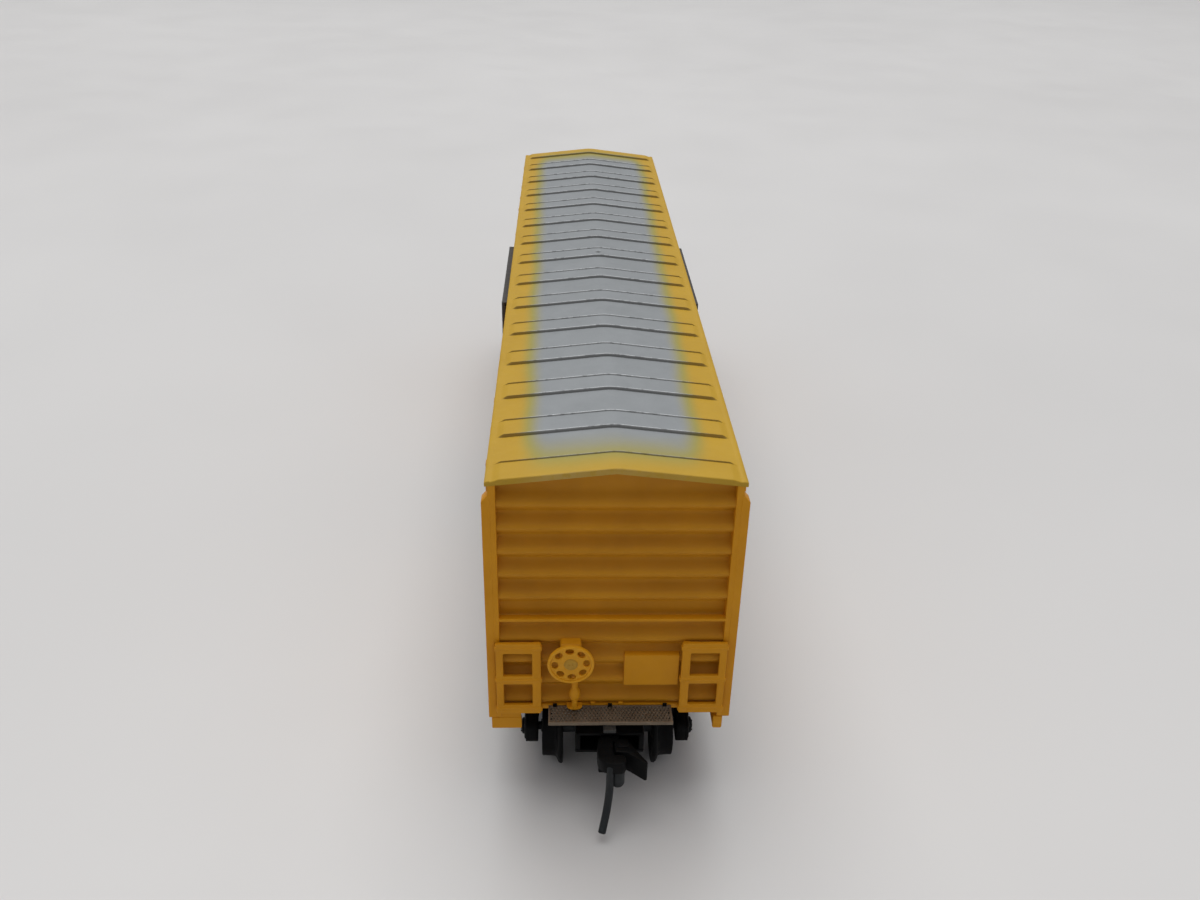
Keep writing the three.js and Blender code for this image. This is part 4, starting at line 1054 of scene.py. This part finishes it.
def wheel_parts(side):
    """A wheel turned from a closed profile: hub, web, rim, tread and flange."""
    profile = [
        (0.62, 3.98), (0.62, 5.72), (0.95, 5.72), (1.1, 5.68), (1.22, 5.5), (1.4, 5.42), (1.9, 5.4),
        (2.1, 5.46), (2.24, 5.6), (2.32, 5.73), (2.42, 5.75), (2.54, 5.74), (2.59, 5.68), (2.6, 5.2),
        (2.62, 4.75), (2.66, 4.6), (2.76, 4.5), (2.98, 4.41), (3.16, 4.31), (3.25, 4.18), (3.27, 4.08),
        (3.24, 3.97), (3.14, 3.91), (2.9, 3.9), (2.5, 3.92), (2.3, 4.06), (2.0, 4.2), (1.4, 4.22),
        (1.15, 4.05), (0.95, 3.96), (0.62, 3.98),
    ]
    return [lathe([(r, side * x) for r, x in profile], count=72)]


def axle_parts():
    half = [(0.6, 0.0), (0.6, 5.78), (0.55, 5.85), (0.36, 5.87), (0.35, 6.6), (0.3, 6.78), (0.12, 6.98),
            (0, 7.05)]
    return [lathe([(r, -x) for r, x in half[:0:-1]] + half, count=32)]


def truck(end, turn):
    body = f"truck_{end}"
    place = turn @ Matrix.Translation((0, TRUCK_Y, 0))
    make_piece(f"truck_{end}_frame", [f"truck_frame_{end}"], body, "black_plastic", truck_frame_parts(),
               place, ("painted_sheen",))
    lid = [
        block((-2.9, 2.9), (-10.7, -6.15), (5.05, 5.32), 0.07),
        block((-2.8, -2.5), (-9.5, -8.3), (4.9, 5.15), 0.05),
        block((2.5, 2.8), (-9.5, -8.3), (4.9, 5.15), 0.05),
        lathe([(0, 4.98), (0.45, 4.98), (0.55, 5.06), (0, 5.06)], (0, PIVOT_Y - TRUCK_Y, 0), "z", 24),
    ]
    make_piece(f"coupler_lid_{end}", [f"coupler_box_lid_{end}"], body, "black_plastic", lid, place)
    pin = [(0, 4.5), (0.95, 4.5), (1.15, 4.62), (1.15, 4.78), (1.08, 4.85), (0.72, 4.85), (0.72, 8.8),
           (0.6, 8.9), (0, 8.9)]
    boss = [(0, 4.46), (0.5, 4.46), (0.55, 4.52), (0, 4.52)]
    kingpin = [lathe(pin, axis="z", count=40), lathe(boss, axis="z", count=24)]
    make_piece(f"kingpin_head_{end}", [f"kingpin_{end}"], "car_body", "black_plastic", kingpin, place)
    for row, y in (("outer", -HALF_WHEELBASE), ("inner", HALF_WHEELBASE)):
        spot = place @ Matrix.Translation((0, y, AXLE_Z))
        body, tail = f"wheelset_{end}_{row}", f"{end}_{row}"
        make_piece(f"axle_shaft_{tail}", [f"axle_{tail}"], body, "blackened_steel", axle_parts(), spot)
        for side, name in ((1, "right"), (-1, "left")):
            make_piece(f"wheel_disc_{tail}_{name}", [f"wheel_{tail}_{name}"], body, "wheel_black",
                       wheel_parts(side), spot)


# ---- couplers


def eye_plate(low, high):
    """Shank with the pivot eye and the spring slot."""
    waist, eye = 0.75, 1.05
    outline = [(-waist, -3.6), (waist, -3.6), (waist, -0.72)]
    for degrees in range(-40, 221, 13):
        angle = radians(degrees)
        outline.append((eye * cos(angle), eye * sin(angle)))
    outline.append((-waist, -0.72))
    slot = rectangle(-0.45, 0.45, -2.8, -1.25, 0.12)
    return plate(outline, low, high, "z", [circle((0, 0), 0.6, 32), slot])


def guard_parts():
    """The coupler's guard-arm half, at the right and below."""
    arm = [(0.35, -3.9), (1.0, -3.4), (1.45, -3.65), (1.75, -4.1), (2.25, -5.0), (3.0, -6.2), (2.9, -6.32),
           (2.75, -6.3), (1.8, -5.5), (1.3, -5.1), (0.35, -5.0)]
    return [
        eye_plate(5.4, 6.05),
        plate(rounded(arm, 0.12), 5.1, 7.1, "z", bevel=0.1),
        block((0.32, 0.95), (-4.3, -3.3), (5.4, 6.08)),
        block((0.6, 1.5), (-4.6, -3.7), (7.05, 7.2)),
    ]


def knuckle_parts():
    """The coupler's knuckle half, with the boss and the metal seat of the trip pin."""
    hook = [(-0.95, -4.3), (0.2, -4.3), (0.2, -5.15), (0.35, -5.3), (1.0, -5.3), (1.25, -5.6), (1.25, -6.1),
            (1.0, -6.4), (0.2, -6.45), (-0.6, -6.25), (-1.05, -5.7), (-1.15, -4.6)]
    upper = [(-0.95, -3.4), (0.2, -3.4), (0.2, -4.5), (-1.12, -4.5)]
    boss = [(0, 4.25), (0.3, 4.26), (0.48, 4.36), (0.56, 4.6), (0.56, 6.5), (0, 6.5)]
    return [
        eye_plate(6.15, 6.78),
        plate(rounded(hook, 0.2), 5.9, 7.1, "z", bevel=0.14, segments=3),
        block((-1.0, 0.2), (-5.4, -4.3), (5.1, 6.1), 0.1),
        plate(rounded(upper, 0.1), 6.14, 7.1, "z", bevel=0.08),
        paint(lathe(boss, (0.62, -5.83, 0), "z", 32), 1),
        paint(block((-0.3, 0.62), (-6.22, -5.45), (4.3, 6.2), 0.12, 3), 1),
    ]


def trip_pin_parts():
    route = [(-0.05, -6.15, 6.6), (-0.05, -6.15, 5.6), (-0.05, -6.17, 4.6), (-0.12, -6.4, 3.5),
             (-0.32, -7.0, 2.3), (-0.55, -7.6, 1.45), (-0.69, -8.0, 1.05)]
    return [tube(spline_points(route, 8), 0.33, 24)]


def coupler(end, turn):
    arm, knuckle = f"coupler_{end}", f"knuckle_{end}"
    place = turn @ Matrix.Translation((0, PIVOT_Y, 0))
    spring = [coil((0, -1.45, 5.74), (0, -1.15, 0), (0, 0, 1), 0.22, 0.05, 7)]
    make_piece(f"centring_coil_{end}", [f"centring_spring_{end}"], arm, "plain_steel", spring, place)
    make_piece(f"guard_arm_{end}", [f"coupler_guard_arm_{end}"], arm, "black_plastic", guard_parts(), place)
    make_piece(f"knuckle_jaw_{end}", [f"coupler_knuckle_{end}"], knuckle, "black_plastic", knuckle_parts(),
               place, ("blackened_steel",))
    make_piece(f"trip_wire_{end}", [f"trip_pin_{end}"], knuckle, "blackened_steel", trip_pin_parts(), place)


# ---- camera, light and floor
CAMERA_PLACE = Vector((-0.0041, -0.1184, 0.07125))
CAMERA_PITCH, CAMERA_YAW, CAMERA_ROLL = (radians(a) for a in (28.79, 2.33, 1.31))
CAMERA_LENS = 32.16
SENSOR_WIDTH = 36
CLIP_START, CLIP_END = 0.005, 20
FLOOR_REACH = 4.0
FLOOR_COLOURS = ((0.575, 0.561, 0.557), (0.612, 0.598, 0.594))
SKY_COLOUR = (0.98, 0.98, 1.0)
SKY_STRENGTH = {"From Min": -0.1, "From Max": 1.0, "To Min": 0.10, "To Max": 0.66}
SUN_DIRECTION = (-0.05, 0.28, 0.95)
SUN_POWER, SUN_ANGLE = 1.65, radians(55)
SUN_COLOUR = (0.98, 1.0, 0.985)
PANEL_PLACE, PANEL_TARGET = Vector((-0.05, 0.35, 0.55)), Vector((0, 0, 0.03))
PANEL_SIZE, PANEL_POWER = (0.5, 0.12), 0.5


def add_camera():
    """The photograph's camera: pitched down and yawed, then rolled about its own axis."""
    data = bpy.data.cameras.new("camera")
    data.lens = CAMERA_LENS
    data.sensor_width = SENSOR_WIDTH
    data.clip_start = CLIP_START
    data.clip_end = CLIP_END
    camera = placed("camera", data)
    sin_p, cos_p = sin(CAMERA_PITCH), cos(CAMERA_PITCH)
    sin_y, cos_y = sin(CAMERA_YAW), cos(CAMERA_YAW)
    sin_r, cos_r = sin(CAMERA_ROLL), cos(CAMERA_ROLL)
    forward = Vector((cos_p * sin_y, cos_p * cos_y, -sin_p))
    right = Vector((cos_y, -sin_y, 0))
    up = Vector((sin_p * sin_y, sin_p * cos_y, cos_p))
    columns = (cos_r * right + sin_r * up, cos_r * up - sin_r * right, -forward)
    camera.matrix_world = Matrix.Translation(CAMERA_PLACE) @ Matrix(columns).transposed().to_4x4()
    bpy.context.scene.camera = camera


def add_floor():
    n = Nodes(bpy.data.materials.new("pale_floor"))
    colour = n.ramp(n.noise(6, 3), *FLOOR_COLOURS)
    material = n.finish(colour, n.blend(n.noise(40, 3), 0.3, 0.7, 0.5, 0.6))
    mesh = bpy.data.meshes.new("floor")
    made = bmesh.new()
    bmesh.ops.create_grid(made, x_segments=1, y_segments=1, size=FLOOR_REACH)
    made.to_mesh(mesh)
    made.free()
    mesh.materials.append(material)
    floor = placed("floor", mesh)


def add_light():
    """A sky that brightens upwards, a broad soft sun overhead and a weak panel from behind."""
    n = Nodes(bpy.data.worlds.new("studio"), "BACKGROUND")
    n.feed(n.shader.inputs["Color"], SKY_COLOUR)
    strength = n.add("MapRange", {"Value": n.along("Generated", "Z"), **SKY_STRENGTH})["Result"]
    n.feed(n.shader.inputs["Strength"], strength)
    bpy.context.scene.world = n.owner
    sun = bpy.data.lights.new("overhead", "SUN")
    sun.energy = SUN_POWER
    sun.angle = SUN_ANGLE
    sun.color = SUN_COLOUR
    overhead = placed("overhead", sun)
    overhead.rotation_euler = Vector(SUN_DIRECTION).to_track_quat("Z", "Y").to_euler()
    panel = bpy.data.lights.new("behind", "AREA")
    panel.shape = "RECTANGLE"
    panel.size, panel.size_y = PANEL_SIZE
    panel.energy = PANEL_POWER
    behind = placed("behind", panel)
    behind.location = PANEL_PLACE
    behind.rotation_euler = (PANEL_TARGET - PANEL_PLACE).to_track_quat("-Z", "Y").to_euler()
    bpy.context.scene.view_settings.view_transform = "Standard"
    bpy.context.scene.view_settings.look = "None"


# ---- assembly
add_camera()
add_floor()
add_light()
shell()
doors()
underfloor()
make_piece("brake_stand_column", ["brake_stand"], "car_body", "body_yellow", brake_stand_parts())
make_piece("hand_brake_wheel", ["brake_wheel"], "brake_wheel", "painted_metal", brake_wheel_parts(),
           others=("hub",))
for end_name, end_turn in (("b", AS_IS), ("a", HALF_TURN)):
    end_fittings(end_name, end_turn)
    truck(end_name, end_turn)
    coupler(end_name, end_turn)
weight_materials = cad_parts["weight_plate"].data.materials
weight_materials.clear()
weight_materials.append(MAT["plain_steel"])
